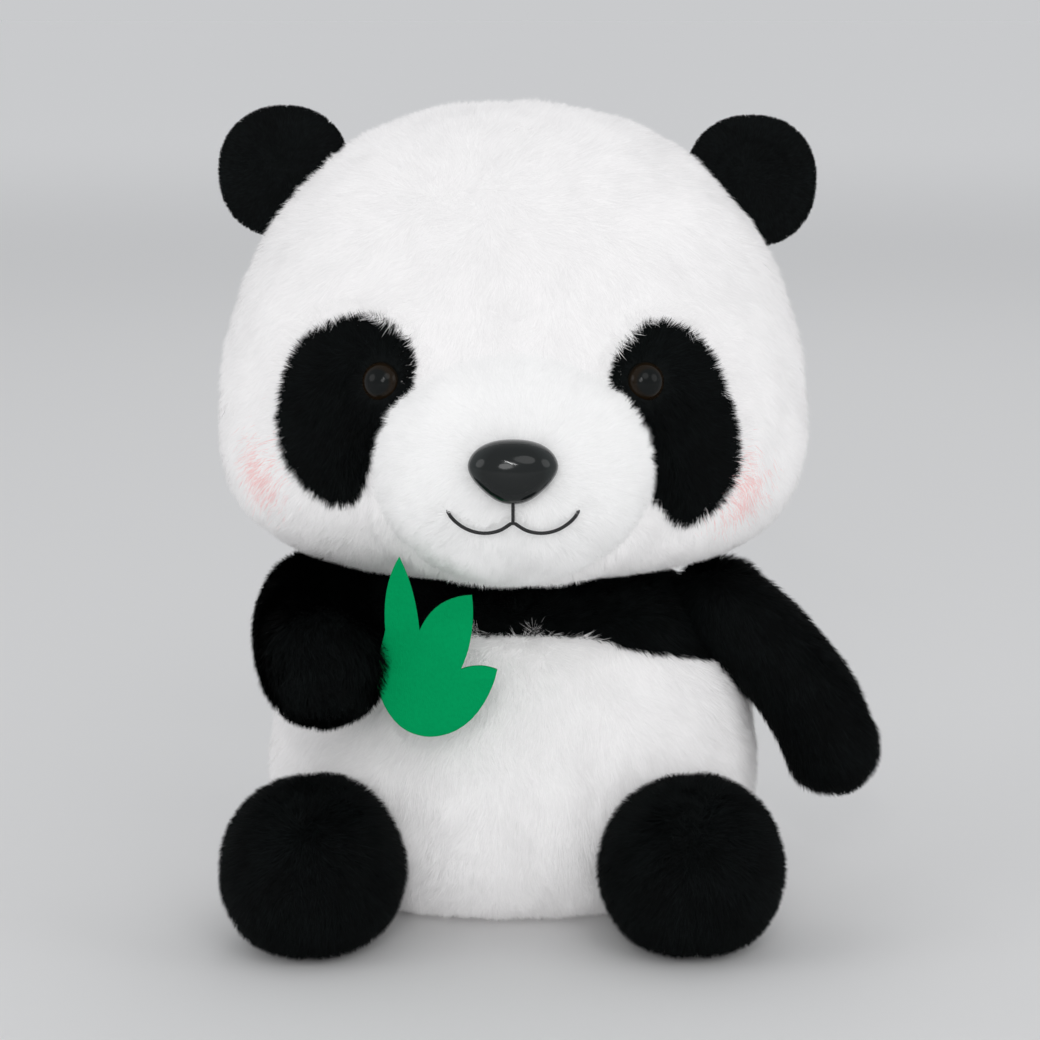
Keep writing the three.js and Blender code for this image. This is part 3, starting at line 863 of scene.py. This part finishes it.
class PANDA_OT_head(bpy.types.Operator):
    """Make the head's cover, its four panels of white pile and the two black eye patches"""

    bl_idname = "panda.head"
    bl_label = "Head"

    def execute(self, context):
        def dent(places):
            x, y, z = places.T
            left, right, _ = patch_fields(places)
            seams = ridge(x, 0.8, 3.5) * smooth_step(*CROWN, z) + ridge(y, 0.9, 2.6)
            seams += ridge(np.minimum(np.abs(left), np.abs(right)), 1.0, 3.0)
            gap = (muzzle_share(places) - 1) * 50
            ramp = ridge(gap, 5.0, 8.0) * (1 - 0.75 * smooth_step(243, 266, z)) * (y < FACE_BACK)
            cheeks = ridge(z - 235, 2.4, 45) * smooth_step(60, 105, np.abs(x))
            return seams - ramp - cheeks - 1.4

        nodes = ["head_stuffing"] + [f"{p}_panel_{s}" for p in ("face", "head_back") for s in SIDES]
        shape = partial(egg_places, HEAD)
        skin, places, _ = cover(
            "head_plush", shape, "white", "head", nodes, dent, lump=1.0, rounds=6
        )
        x, y, z = places.T
        left, right, away = patch_fields(places)
        seam = np.minimum(left, right)
        nap = blended(falling(places, 0.5, 0.85), away * 1.1, 1 - smooth_step(1, 13, seam))
        parting = ridge(x, 1.0, 3.2) * smooth_step(*CROWN, z)
        share = (1 - 0.15 * parting) * (0.65 + 0.35 * smooth_step(163, 172, z))
        off_neck = (np.hypot(x, y) > 42) | (z > 190)
        thin = off_neck * (muzzle_share(places) > 0.94) * np.where(y > 0, 0.85, 1.0)
        gaps = (np.linalg.norm(places - spot, axis=1) for spot in BLUSHES)
        blush = sum(ridge(gap, 0.75, BLUSH_RADIUS) for gap in gaps)
        for panel, half, pink in (("face", -1, blush), ("head_back", 1, None)):
            for name, side in SIDES.items():
                inside = np.minimum(x * side.sign, y * half)
                keep = np.minimum(inside + PANEL_LAP, seam + SEAM_LAP)
                piece = f"{panel}_{name}_pile"
                pile(piece, skin, coats()["white"], "head", nap, keep, share, thin, pink)
        self.patches(skin, places, (left, right), away)
        return {"FINISHED"}

    def patches(self, skin, places, distances, away):
        """The eye patches: black cloth sewn into the face, with pile that spreads over it."""
        eye, from_eye = eye_gap(places)
        coat = coats()["black"]
        coat = coat._replace(density=coat.density * 1.8, lay=64)
        share = 0.42 + 0.58 * smooth_step(EYE_RADIUS, 2 * EYE_RADIUS, eye)
        thin = (eye > EYE_RADIUS - 0.4) * (muzzle_share(places) > 0.96)
        for (name, side), distance in zip(SIDES.items(), distances):
            edge = (1 - smooth_step(0, 20, -distance))[:, None]
            nap = away * edge * 1.2 + np.array([0.35 * side.sign, 0, -0.75]) * (1 - edge * 0.6)
            nap = blended(nap, from_eye * 1.2, 1 - smooth_step(EYE_RADIUS, 17, eye))
            self.patch_cloth(name, skin, distance)
            pile(f"eye_patch_{name}_pile", skin, coat, "head", nap, -distance, share, thin)

    def patch_cloth(self, name, skin, distance):
        """The part of the head's cover inside a patch's seam, lifted by a cloth's thickness."""
        bm = bmesh.new()
        bm.from_mesh(skin.data)
        bm.verts.ensure_lookup_table()
        outside = [v for v, d in zip(bm.verts, distance) if d > 1.5]
        bmesh.ops.delete(bm, geom=outside, context="VERTS")
        bm.normal_update()
        lifted = [(v, v.co + v.normal * 0.7 * MM) for v in bm.verts]
        for vertex, place in lifted:
            vertex.co = place
        rim = [v for v in bm.verts if v.is_boundary]
        every_way = {f"use_axis_{axis}": True for axis in "xyz"}
        bmesh.ops.smooth_vert(bm, verts=rim, factor=0.5, **every_way)
        area = sum(face.calc_area() for face in bm.faces)
        bmesh.ops.solidify(bm, geom=bm.faces[:], thickness=0.5 * MM)
        piece = link(f"eye_patch_{name}_cloth", bm, [finish("black_cloth")])
        sewn(piece, "head", "black_plush", f"eye_patch_{name}")


class PANDA_OT_muzzle(bpy.types.Operator):
    """Make the muzzle's cover and its shorter pile, parted round the nose and the mouth"""

    bl_idname = "panda.muzzle"
    bl_label = "Muzzle"

    def execute(self, context):
        shape = partial(ball_places, MUZZLE_CENTRE, MUZZLE_SIZE)
        skin, places, _ = cover(
            "muzzle_plush", shape, "muzzle", "head", ["muzzle_panel"], seed=4.0, lump=0.8,
            rounds=6,
        )
        x, y, z = places.T
        snout = y < SNOUT_BACK
        lines = [np.array(MOUTH), np.array(MOUTH) * (-1, 1), np.array(PHILTRUM, float)]
        fields = [outline_distance(places[:, [0, 2]], line, closed=False) for line in lines]
        gap, aside = nearest_of(*zip(*fields))
        gap = np.where(snout, gap, FAR)
        low = z - NOSE_CENTRE[2]
        from_nose = np.column_stack([x, np.full(len(x), 8.0), low])
        reach = np.linalg.norm(from_nose, axis=1)
        nap = from_nose / reach[:, None] + (0, 0.2, -0.15)
        off_mouth = smooth_step(1.5, 6, gap)
        nap = blended(nap, in_space(aside), 1 - off_mouth)
        nose = np.hypot(x / (NOSE_SIZE[0] - 2.5), low / (NOSE_SIZE[2] - 2.5))
        nose = np.where(snout, nose, FAR)
        rim = smooth_step(26, 52, reach) * (1 - 0.6 * smooth_step(240, 258, z))
        share = (0.4 + 0.6 * off_mouth) * (0.6 + 0.4 * smooth_step(1.1, 2.0, nose))
        share = share * (1 + 0.55 * rim)
        reach, power = egg_half(HEAD, z > HEAD.mid)
        head_share = np.hypot(x / HEAD.radius, y / (HEAD.radius * HEAD.depth)) ** power
        head_share += (np.abs(z - HEAD.mid) / reach) ** power
        thin = (head_share > 0.97) * (y < -60) * (nose > 1) * (gap > 0.7)
        pile("muzzle_pile", skin, coats()["muzzle"], "head", nap, share=share, thin=thin)
        return {"FINISHED"}


# --- eyes, nose and mouth
def turned(name, profile, spot, out, material):
    """A piece spun from a profile of (radius, height) pairs and set at a spot, facing out."""
    bm = bmesh.new()
    verts = [bm.verts.new((radius * MM, 0, height * MM)) for radius, height in profile]
    edges = [bm.edges.new(pair) for pair in zip(verts, verts[1:])]
    bmesh.ops.spin(
        bm, geom=verts + edges, cent=(0, 0, 0), axis=(0, 0, 1), angle=math.tau, steps=48,
        use_merge=True,
    )
    bmesh.ops.remove_doubles(bm, verts=bm.verts, dist=0.01 * MM)
    place = Matrix.Translation(spot * MM) @ out.to_track_quat("Z", "Y").to_matrix().to_4x4()
    bmesh.ops.transform(bm, matrix=place, verts=bm.verts)
    bmesh.ops.recalc_face_normals(bm, faces=bm.faces)
    return link(name, bm, [material])


def thread(name, path, radius, material):
    """A round thread drawn along a path, thinner where it goes into the cloth at its ends."""
    bm = bmesh.new()
    ring = bmesh.ops.create_circle(bm, cap_ends=True, segments=10, radius=1)["verts"]
    template = [v.co.copy() for v in ring]
    for i, spot in enumerate(path):
        if i:
            rim = {e for v in ring for e in v.link_edges if e.other_vert(v) in ring}
            grown = bmesh.ops.extrude_edge_only(bm, edges=list(rim))["geom"]
            fresh = [v for v in grown if isinstance(v, bmesh.types.BMVert)]

            def rank(vertex, ring=ring):
                return min(range(len(ring)), key=lambda k: (ring[k].co - vertex.co).length)

            ring = sorted(fresh, key=rank)
        ahead = (path[min(i + 1, len(path) - 1)] - path[max(i - 1, 0)]).normalized()
        turn = ahead.to_track_quat("Z", "Y").to_matrix()
        ends = 0.45 if i in (0, len(path) - 1) else 1.0
        for vertex, corner in zip(ring, template):
            vertex.co = (spot + turn @ corner * radius * ends) * MM
    bmesh.ops.contextual_create(bm, geom=ring)
    bmesh.ops.recalc_face_normals(bm, faces=bm.faces)
    return link(name, bm, [material])


def smooth_path(pairs, steps):
    """Points of a smooth curve through pairs of numbers."""
    pairs = np.array(pairs, float)
    ends = np.vstack([2 * pairs[0] - pairs[1], pairs, 2 * pairs[-1] - pairs[-2]])
    made = []
    for a, b, c, d in zip(ends, ends[1:], ends[2:], ends[3:]):
        slope, bend, twist = c - a, 2 * a - 5 * b + 4 * c - d, 3 * b - a - 3 * c + d
        for t in np.linspace(0, 1, steps, endpoint=False):
            made.append(0.5 * (2 * b + slope * t + bend * t**2 + twist * t**3))
    return np.array(made + [pairs[-1]])


class PANDA_OT_face(bpy.types.Operator):
    """Make the two moulded eyes, the nose and the embroidered mouth"""

    bl_idname = "panda.face"
    bl_label = "Eyes, nose and mouth"

    def execute(self, context):
        turns = [math.pi / 2 * i / 12 for i in range(1, 13)]
        dome = [(EYE_RADIUS * math.sin(turn), EYE_DOME * math.cos(turn)) for turn in turns]
        shank = [(EYE_RADIUS, -0.7), (EYE_RADIUS - 0.5, -1.2), (3, -1.4), (3, -12), (0, -12)]
        for name, side in SIDES.items():
            spot, out = eye_spot(side.sign)
            profile = [(0, EYE_DOME), *dome, *shank]
            material = finish(f"eye_plastic_{name}")
            eye = turned(f"eye_{name}_button", profile, spot + out * 1.3, out, material)
            sewn(eye, "head", "eye_plastic", f"eye_{name}")
        self.nose()
        self.mouth()
        return {"FINISHED"}

    def nose(self):
        """A rounded triangle, widest near the top."""
        bm = bmesh.new()
        bmesh.ops.create_icosphere(bm, subdivisions=5, radius=1)
        directions = np.array([v.co for v in bm.verts], float)
        spots = ball_places((0, 0, 0), (1, 1, 1), directions, 2.3)
        spots[:, 0] *= 1 - 0.36 * smooth_step(-0.3, 1.1, -spots[:, 2])
        for vertex, spot in zip(bm.verts, spots * NOSE_SIZE + NOSE_CENTRE):
            vertex.co = spot * MM
        sewn(link("nose_button", bm, [finish("nose_gloss")]), "head", "nose_plastic", "nose")

    def mouth(self):
        rows = [
            ("mouth_left", MOUTH, "mouth_stitch_left"),
            ("philtrum", PHILTRUM, "philtrum_stitch"),
            ("mouth_right", [(-x, z) for x, z in MOUTH], "mouth_stitch_right"),
        ]
        for name, pairs, node in rows:
            line = smooth_path(pairs, 8)
            sunk = 3.2 * smooth_step(0.9, 1.0, np.linspace(0, 1, len(line)))
            if name == "philtrum":
                sunk *= 0
            path = [muzzle_spot(x, z, 3.0 - below) for (x, z), below in zip(line, sunk)]
            piece = thread(f"{name}_thread", path, THREAD_RADIUS, finish("mouth_thread"))
            sewn(piece, "head", "black_thread", node)


class PANDA_OT_ears(bpy.types.Operator):
    """Make the two short-piled ears, the left one creased along its outer edge"""

    bl_idname = "panda.ears"
    bl_label = "Ears"

    def execute(self, context):
        for name, side in SIDES.items():
            centre = np.array(side.ear)

            def dent(places):
                x, y, z = (places - centre).T
                ring = np.hypot(x, z)
                front = smooth_step(0, 4, -y)
                bowl = 1.6 * (1 - smooth_step(8, 24, ring))
                creases = ridge(ring - 18.5, 1.3, 1.3) + ridge(ring - 24, 0.8, 1.1)
                return ridge(y, 0.8, 1.6) + (bowl + creases * (side.sign > 0)) * front

            skin, places, _ = cover(
                f"ear_{name}_plush", partial(ball_places, centre, EAR_SIZE, power=2.25), "black",
                f"ear_{name}", [f"ear_{part}_{name}" for part in ("front", "back", "wadding")],
                dent, seed=9.0, lump=0.5,
            )
            nap = (places - centre) / 20 * (1, 0.3, 1) + (0, 0, -0.15)
            from_head = (places - (0, 0, HEAD.mid)) / (1, HEAD.depth, 1.12)
            clear = np.linalg.norm(from_head, axis=1) > HEAD.radius - 4
            pile(f"ear_{name}_pile", skin, coats()["ear"], f"ear_{name}", nap, thin=clear)
        return {"FINISHED"}


# --- the body
def label_bed(places):
    """Where the care label lies when it is folded up against the back, from 0 to 1."""
    x, y, z = places.T
    return np.exp(-(((x + 40) / 14) ** 4)) * (y > 20) * (1 - smooth_step(46, 58, z))


def off_floor(normals):
    """A share that thins the pile where a cover sits on the floor."""
    return 1 - 0.7 * (normals[:, 2] < -0.8)


class PANDA_OT_torso(bpy.types.Operator):
    """Make the body's cover, with its black yoke and white belly, back and seat, neck and tail"""

    bl_idname = "panda.torso"
    bl_label = "Body"

    def execute(self, context):
        def dent(places):
            x, y, z = places.T
            above = z - YOKE_SEAM + YOKE_SAG * x**2
            seams = ridge(above, 1.2, 2.6) + ridge(y, 0.9, 2.6) * (above < 0)
            shoulders = ridge(np.abs(x) - 66, 8.5, 26) * smooth_step(118, 140, z)
            return seams - shoulders - 1.2 + 3.2 * label_bed(places)

        nodes = ["belly_panel", "back_panel", "chest_yoke_front", "chest_yoke_back"]
        nodes += ["seat_panel", "torso_stuffing"]
        skin, places, normals = cover(
            "torso_plush", partial(egg_places, TORSO), "body", "torso", nodes, dent,
            seed=5.0, lump=1.4, rounds=6, low=True,
        )
        x, y, z = places.T
        seam = z - YOKE_SEAM + YOKE_SAG * x**2 - lumps(places, 12, 11.0) * 1.2
        nap = falling(places, 0.35, 0.9)
        white, black = coats()["white"], coats()["black"]
        low = np.where(z < 12, 0.6, 1.0) * (1 - 0.75 * label_bed(places))
        high = 1 - 0.5 * smooth_step(146, 152, z)
        open_top = np.hypot(x, y) > 38
        for name, way, half, full in (("belly", "front", -1, 1.0), ("back", "back", 1, 0.85)):
            panel = y * half + PANEL_LAP
            keep, thin = np.minimum(panel, SEAM_LAP - seam), off_floor(normals) * full
            pile(f"{name}_pile", skin, white, "torso", nap, keep, low, thin)
            keep = np.minimum(panel, seam)
            pile(f"yoke_{way}_pile", skin, black, "torso", nap, keep, high, open_top)
        self.neck()
        self.tail()
        return {"FINISHED"}

    def neck(self):
        """The neck's cover, between the body and the head."""
        shape = partial(egg_places, NECK)
        skin, *_ = cover(
            "neck_plush", shape, "black", None, ["neck_stuffing"], seed=6.0, lump=0.4
        )
        NECK.low * MM
        NECK.mid * MM
        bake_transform(skin)

    def tail(self):
        shape, nodes = partial(ball_places, TAIL_CENTRE, TAIL_SIZE), ["tail_cover", "tail_stuffing"]
        skin, places, normals = cover("tail_plush", shape, "white", "torso", nodes, seed=7.0)
        nap = normals * 0.3 + (0, 0.4, -0.6)
        clear = np.hypot(places[:, 0], places[:, 1] / TORSO.depth) > TORSO.radius - 5
        pile("tail_pile", skin, coats()["white"]._replace(seed=71), "torso", nap, thin=clear)


# --- the limbs
class PANDA_OT_arms(bpy.types.Operator):
    """Make the arm that hangs at the side and the arm that holds the sprig"""

    bl_idname = "panda.arms"
    bl_label = "Arms"

    def execute(self, context):
        self.arm("left", 1, -21, ("back", "front"))
        self.arm("right", 0, -90, ("inner", "outer"))
        return {"FINISHED"}

    def arm(self, name, axis, at, panels):
        """One arm, with a seam where it crosses a place on an axis."""
        side = SIDES[name]
        shoulder = np.array(side.shoulder)

        def dent(places):
            swell = ridge(np.linalg.norm(places - shoulder, axis=1), 4.0, 34)
            return ridge(places[:, axis] - at, 0.9, 2.2) - swell

        nodes = [f"arm_{name}_{panel}_panel" for panel in panels] + [f"arm_{name}_stuffing"]
        skin, places, normals = cover(
            f"arm_{name}_plush", partial(arm_places, side), "black", f"arm_{name}", nodes,
            dent, seed=12.0 + side.sign, lump=1.0,
        )
        run = np.array(side.hand, float) - shoulder
        nap = run / np.linalg.norm(run) * 0.75 + (0, 0, -0.45) + normals * 0.1
        coat = coats()["black"]._replace(seed=81 + side.sign)
        pile(f"arm_{name}_pile", skin, coat, f"arm_{name}", nap)


class PANDA_OT_legs(bpy.types.Operator):
    """Make the two round feet"""

    bl_idname = "panda.legs"
    bl_label = "Legs"

    def execute(self, context):
        for name, side in SIDES.items():
            centre = np.array(side.foot, float)

            def dent(places):
                return ridge(places[:, 0] - centre[0], 0.8, 2.4)

            leg = f"leg_{name}"
            skin, places, normals = cover(
                f"{leg}_plush", partial(ball_places, centre, FOOT_SIZE, power=2.08), "black", leg,
                [f"{leg}_{part}" for part in ("outer_panel", "inner_panel", "stuffing")],
                dent, seed=16.0 + side.sign, lump=1.1, low=True,
            )
            nap = (places - centre) / FOOT_SIZE * (0.55, 0, 0.3) + (0.05 * side.sign, 0.2, -0.6)
            coat = coats()["black"]._replace(seed=91 + side.sign)
            share = 0.6 + 0.4 * smooth_step(4, 14, places[:, 2])
            thin = off_floor(normals)
            pile(f"{leg}_pile", skin, coat, leg, nap, share=share, thin=thin)
        return {"FINISHED"}


# --- the sprig and the label
def sprig_outline(steps=10):
    corners = [np.array(p, float) for p in SPRIG]
    line = []
    for start, bow, end in zip(corners[0::2], corners[1::2], corners[2::2]):
        for t in np.linspace(0, 1, steps, endpoint=False):
            line.append(start * (1 - t) ** 2 + bow * 2 * t * (1 - t) + end * t * t)
    for t in np.linspace(0, 1, steps, endpoint=False):
        line.append(corners[-1] * (1 - t) + corners[0] * t)
    return np.array(line)


def cut_sheet(outline, spacing):
    """A flat sheet cut to an outline in x and z, crossed by rows of edges so that it can bend."""
    bm = bmesh.new()
    bm.faces.new([bm.verts.new((x, 0, z)) for x, z in outline])
    for axis, way in enumerate((Vector((1, 0, 0)), Vector((0, 0, 1)))):
        low, high = outline[:, axis].min(), outline[:, axis].max()
        for at in np.arange(low + spacing, high, spacing):
            everything = bm.verts[:] + bm.edges[:] + bm.faces[:]
            bmesh.ops.bisect_plane(bm, geom=everything, plane_co=way * at, plane_no=way)
    bmesh.ops.triangulate(bm, faces=bm.faces)
    return bm


class PANDA_OT_sprig(bpy.types.Operator):
    """Make the three-leaved bamboo sprig, cut from one piece of felt and sewn to the paw"""

    bl_idname = "panda.sprig"
    bl_label = "Bamboo sprig"

    def execute(self, context):
        outline = sprig_outline()
        bm = cut_sheet(outline, 3.0)
        area = sum(face.calc_area() for face in bm.faces) * MM**2
        turn = Matrix.Rotation(SPRIG_LEAN, 3, "X")
        paw, paw_radius = np.array(SIDES["right"].hand), SIDES["right"].paw
        for vertex in bm.verts:
            x, _, z = vertex.co
            curl = 1.4 * math.sin((z - 120) / 26) + 0.0035 * (x + 36) ** 2 * (z > SPRIG_HINGE.z)
            wave = 1.2 * noise.noise(Vector((x / 22, 0.5, z / 22)))
            flat = Vector((x, curl - 1.0 + wave, z - SPRIG_HINGE.z))
            vertex.co = turn @ flat + SPRIG_HINGE
            gap = np.array(vertex.co) - paw
            room = paw_radius**2 - gap[1] ** 2 - gap[2] ** 2
            if room > 0:
                vertex.co.x = max(vertex.co.x, paw[0] + math.sqrt(room))
            vertex.co *= MM
        bmesh.ops.solidify(bm, geom=bm.faces[:], thickness=2.0 * MM)
        bmesh.ops.recalc_face_normals(bm, faces=bm.faces)
        felt = link("sprig_felt", bm, [finish("felt")])
        edge = felt.modifiers.new("edge", "BEVEL")
        edge.width, edge.segments, edge.limit_method = 0.35 * MM, 2, "ANGLE"
        sewn(felt, "sprig", "green_felt", "bamboo_sprig")
        return {"FINISHED"}


class PANDA_OT_label(bpy.types.Operator):
    """Make the blank satin care label that hangs from the seam at the back"""

    bl_idname = "panda.label"
    bl_label = "Care label"

    def execute(self, context):
        low, high = (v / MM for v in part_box("care_label"))
        bm = bmesh.new()
        bmesh.ops.create_grid(bm, x_segments=10, y_segments=20, size=0.5)
        wide, long = high.x - low.x, high.y - low.y
        for vertex in bm.verts:
            x, share = vertex.co.x, vertex.co.y + 0.5
            sag = math.sin(share * math.pi) * 0.8 + (x * 2) ** 2 * 0.5
            height = high.z - 0.6 + (low.z - high.z + 1.2) * share + sag
            vertex.co = Vector((low.x + wide * (x + 0.5), low.y + long * share, height)) * MM
        bmesh.ops.solidify(bm, geom=bm.faces[:], thickness=0.35 * MM)
        bmesh.ops.recalc_face_normals(bm, faces=bm.faces)
        label = link("label_satin", bm, [finish("label_weave")])
        sewn(label, "label", "satin", "care_label")
        return {"FINISHED"}


class PANDA_OT_inner_parts(bpy.types.Operator):
    """Give the washers and the pellet bag inside the panda their finishes"""

    bl_idname = "panda.inner_parts"
    bl_label = "Inner parts"

    def execute(self, context):
        for name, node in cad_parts.items():
            if not node.hide_render:
                node.data.materials.clear()
                material = finish("pellet_cloth" if "pellet" in name else "washer_gloss")
                node.data.materials.append(material)
        return {"FINISHED"}


# --- the studio, in metres
FLOOR_REACH = 120
LIGHT_AIM = Vector((0, -0.02, 0.2))
CAMERA_AIM = Vector((0.003, -0.020, 0.183))
SKY_COLOUR = (0.584, 0.591, 0.604)


def area_light(name, power, place, size, narrow=1.0, roll=0.0):
    """A soft light aimed at the panda; a narrow one is rolled about its beam."""
    light = bpy.data.lights.new(name, "AREA")
    light.shape, light.size, light.size_y, light.energy = "ELLIPSE", size, size * narrow, power
    lamp = bpy.data.objects.new(name, light)
    lamp.location = place
    beam = (LIGHT_AIM - Vector(place)).to_track_quat("-Z", "Y")
    lamp.rotation_euler = (beam @ Quaternion((0, 0, 1), roll)).to_euler()
    bpy.context.scene.collection.objects.link(lamp)


class PANDA_OT_stage(bpy.types.Operator):
    """Lay the floor, light it softly and set the camera"""

    bl_idname = "panda.stage"
    bl_label = "Stage"

    def execute(self, context):
        studio, scene = settings()[2], context.scene
        self.lay_floor(studio)
        scene.world = scene.world or bpy.data.worlds.new("studio")
        scene.world.use_nodes = True
        sky = scene.world.node_tree.nodes["Background"]
        sky.inputs["Color"].default_value = rgba(SKY_COLOUR)
        sky.inputs["Strength"].default_value = studio.sky
        area_light("key", studio.key, (0.9, -2.7, 2.2), 1.8)
        for name, share, *more in (
            ("side_left", 1.0, (2.6, -1.2, 1.2), 1.6),
            ("side_right", 1.2, (-2.6, -1.2, 1.2), 1.6),
            ("low", 2.0, (-0.6, -4.2, 1.2), 1.2),
            ("glint", 0.8, (-0.15, -2.6, 1.35), 0.9, 0.035, math.radians(-50)),
            ("back", 0.7, (0.3, 2.2, 2.2), 1.4),
        ):
            area_light(name, studio.fill * share, *more)
        self.set_camera(studio, scene)
        scene.view_settings.view_transform = "Standard"
        scene.cycles.diffuse_bounces = 8
        return {"FINISHED"}

    def lay_floor(self, studio):
        """A floor so wide that its end cannot be seen, painted paler far away, where the lamps give less
        light, so that it shows evenly bright: painted light.
        """
        bm = bmesh.new()
        bmesh.ops.create_grid(bm, x_segments=4, y_segments=4, size=FLOOR_REACH)

        def paint(nodes, place):
            # Painted light: darker near the panda, where the lamps shine, and paler far off.
            reach = nodes.vector("LENGTH", place, out="Value")
            far = {"Value": reach, "From Min": 0.4, "From Max": 9.0}
            share = nodes.add("ShaderNodeMapRange", far, interpolation_type="SMOOTHERSTEP")
            return {"Base Color": nodes.mixed(share, rgba(studio.floor), (1, 1, 1, 1))}

        link("studio_floor", bm, [new_material("studio_paint", paint, Roughness=0.9)])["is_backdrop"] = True

    def set_camera(self, studio, scene):
        camera = bpy.data.cameras.new("camera")
        camera.lens, camera.sensor_width, camera.dof.use_dof = studio.lens, 36, False
        eye = bpy.data.objects.new("camera", camera)
        back = Vector((0, -math.cos(studio.tilt), math.sin(studio.tilt)))
        eye.location = CAMERA_AIM + back * studio.distance
        eye.rotation_euler = back.to_track_quat("Z", "Y").to_euler()
        scene.collection.objects.link(eye)
        scene.camera = eye


class PANDA_PT_panel(bpy.types.Panel):
    """Lists the panda's settings and its pieces"""

    bl_label = "Panda"
    bl_idname = "PANDA_PT_panel"
    bl_space_type = "VIEW_3D"
    bl_region_type = "UI"
    bl_category = "Panda"

    def draw(self, context):
        for group in settings():
            box = self.layout.box()
            for name in group.bl_rna.properties.keys():
                if name not in ("rna_type", "name"):
                    box.prop(group, name)
        for operator in MAKERS:
            self.layout.operator(operator.bl_idname)


MAKERS = (
    PANDA_OT_stage, PANDA_OT_head, PANDA_OT_muzzle, PANDA_OT_face, PANDA_OT_ears, PANDA_OT_torso,
    PANDA_OT_arms, PANDA_OT_legs, PANDA_OT_sprig, PANDA_OT_label, PANDA_OT_inner_parts,
)
GROUPS = {"panda_pile": PandaPile, "panda_colours": PandaColours, "panda_studio": PandaStudio}


def register():
    for owner in (*GROUPS.values(), *MAKERS, PANDA_PT_panel):
        bpy.utils.register_class(owner)
    for name, group in GROUPS.items():
        setattr(bpy.types.Scene, name, PointerProperty(type=group))


def unregister():
    for name in GROUPS:
        delattr(bpy.types.Scene, name)
    for owner in (PANDA_PT_panel, *reversed(MAKERS), *reversed(GROUPS.values())):
        bpy.utils.unregister_class(owner)


def main():
    register()
    strands = [make_strand(name, rows) for name, rows in STRANDS.items()]
    for maker in MAKERS:
        getattr(bpy.ops.panda, maker.bl_idname.split(".")[1])()
    for strand in strands:
        bpy.data.objects.remove(strand)
    sizes = {"cad": [list(v) for v in CAD_BOX], "visual": [list(v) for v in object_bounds()]}


if __name__ == "__main__":
    main()
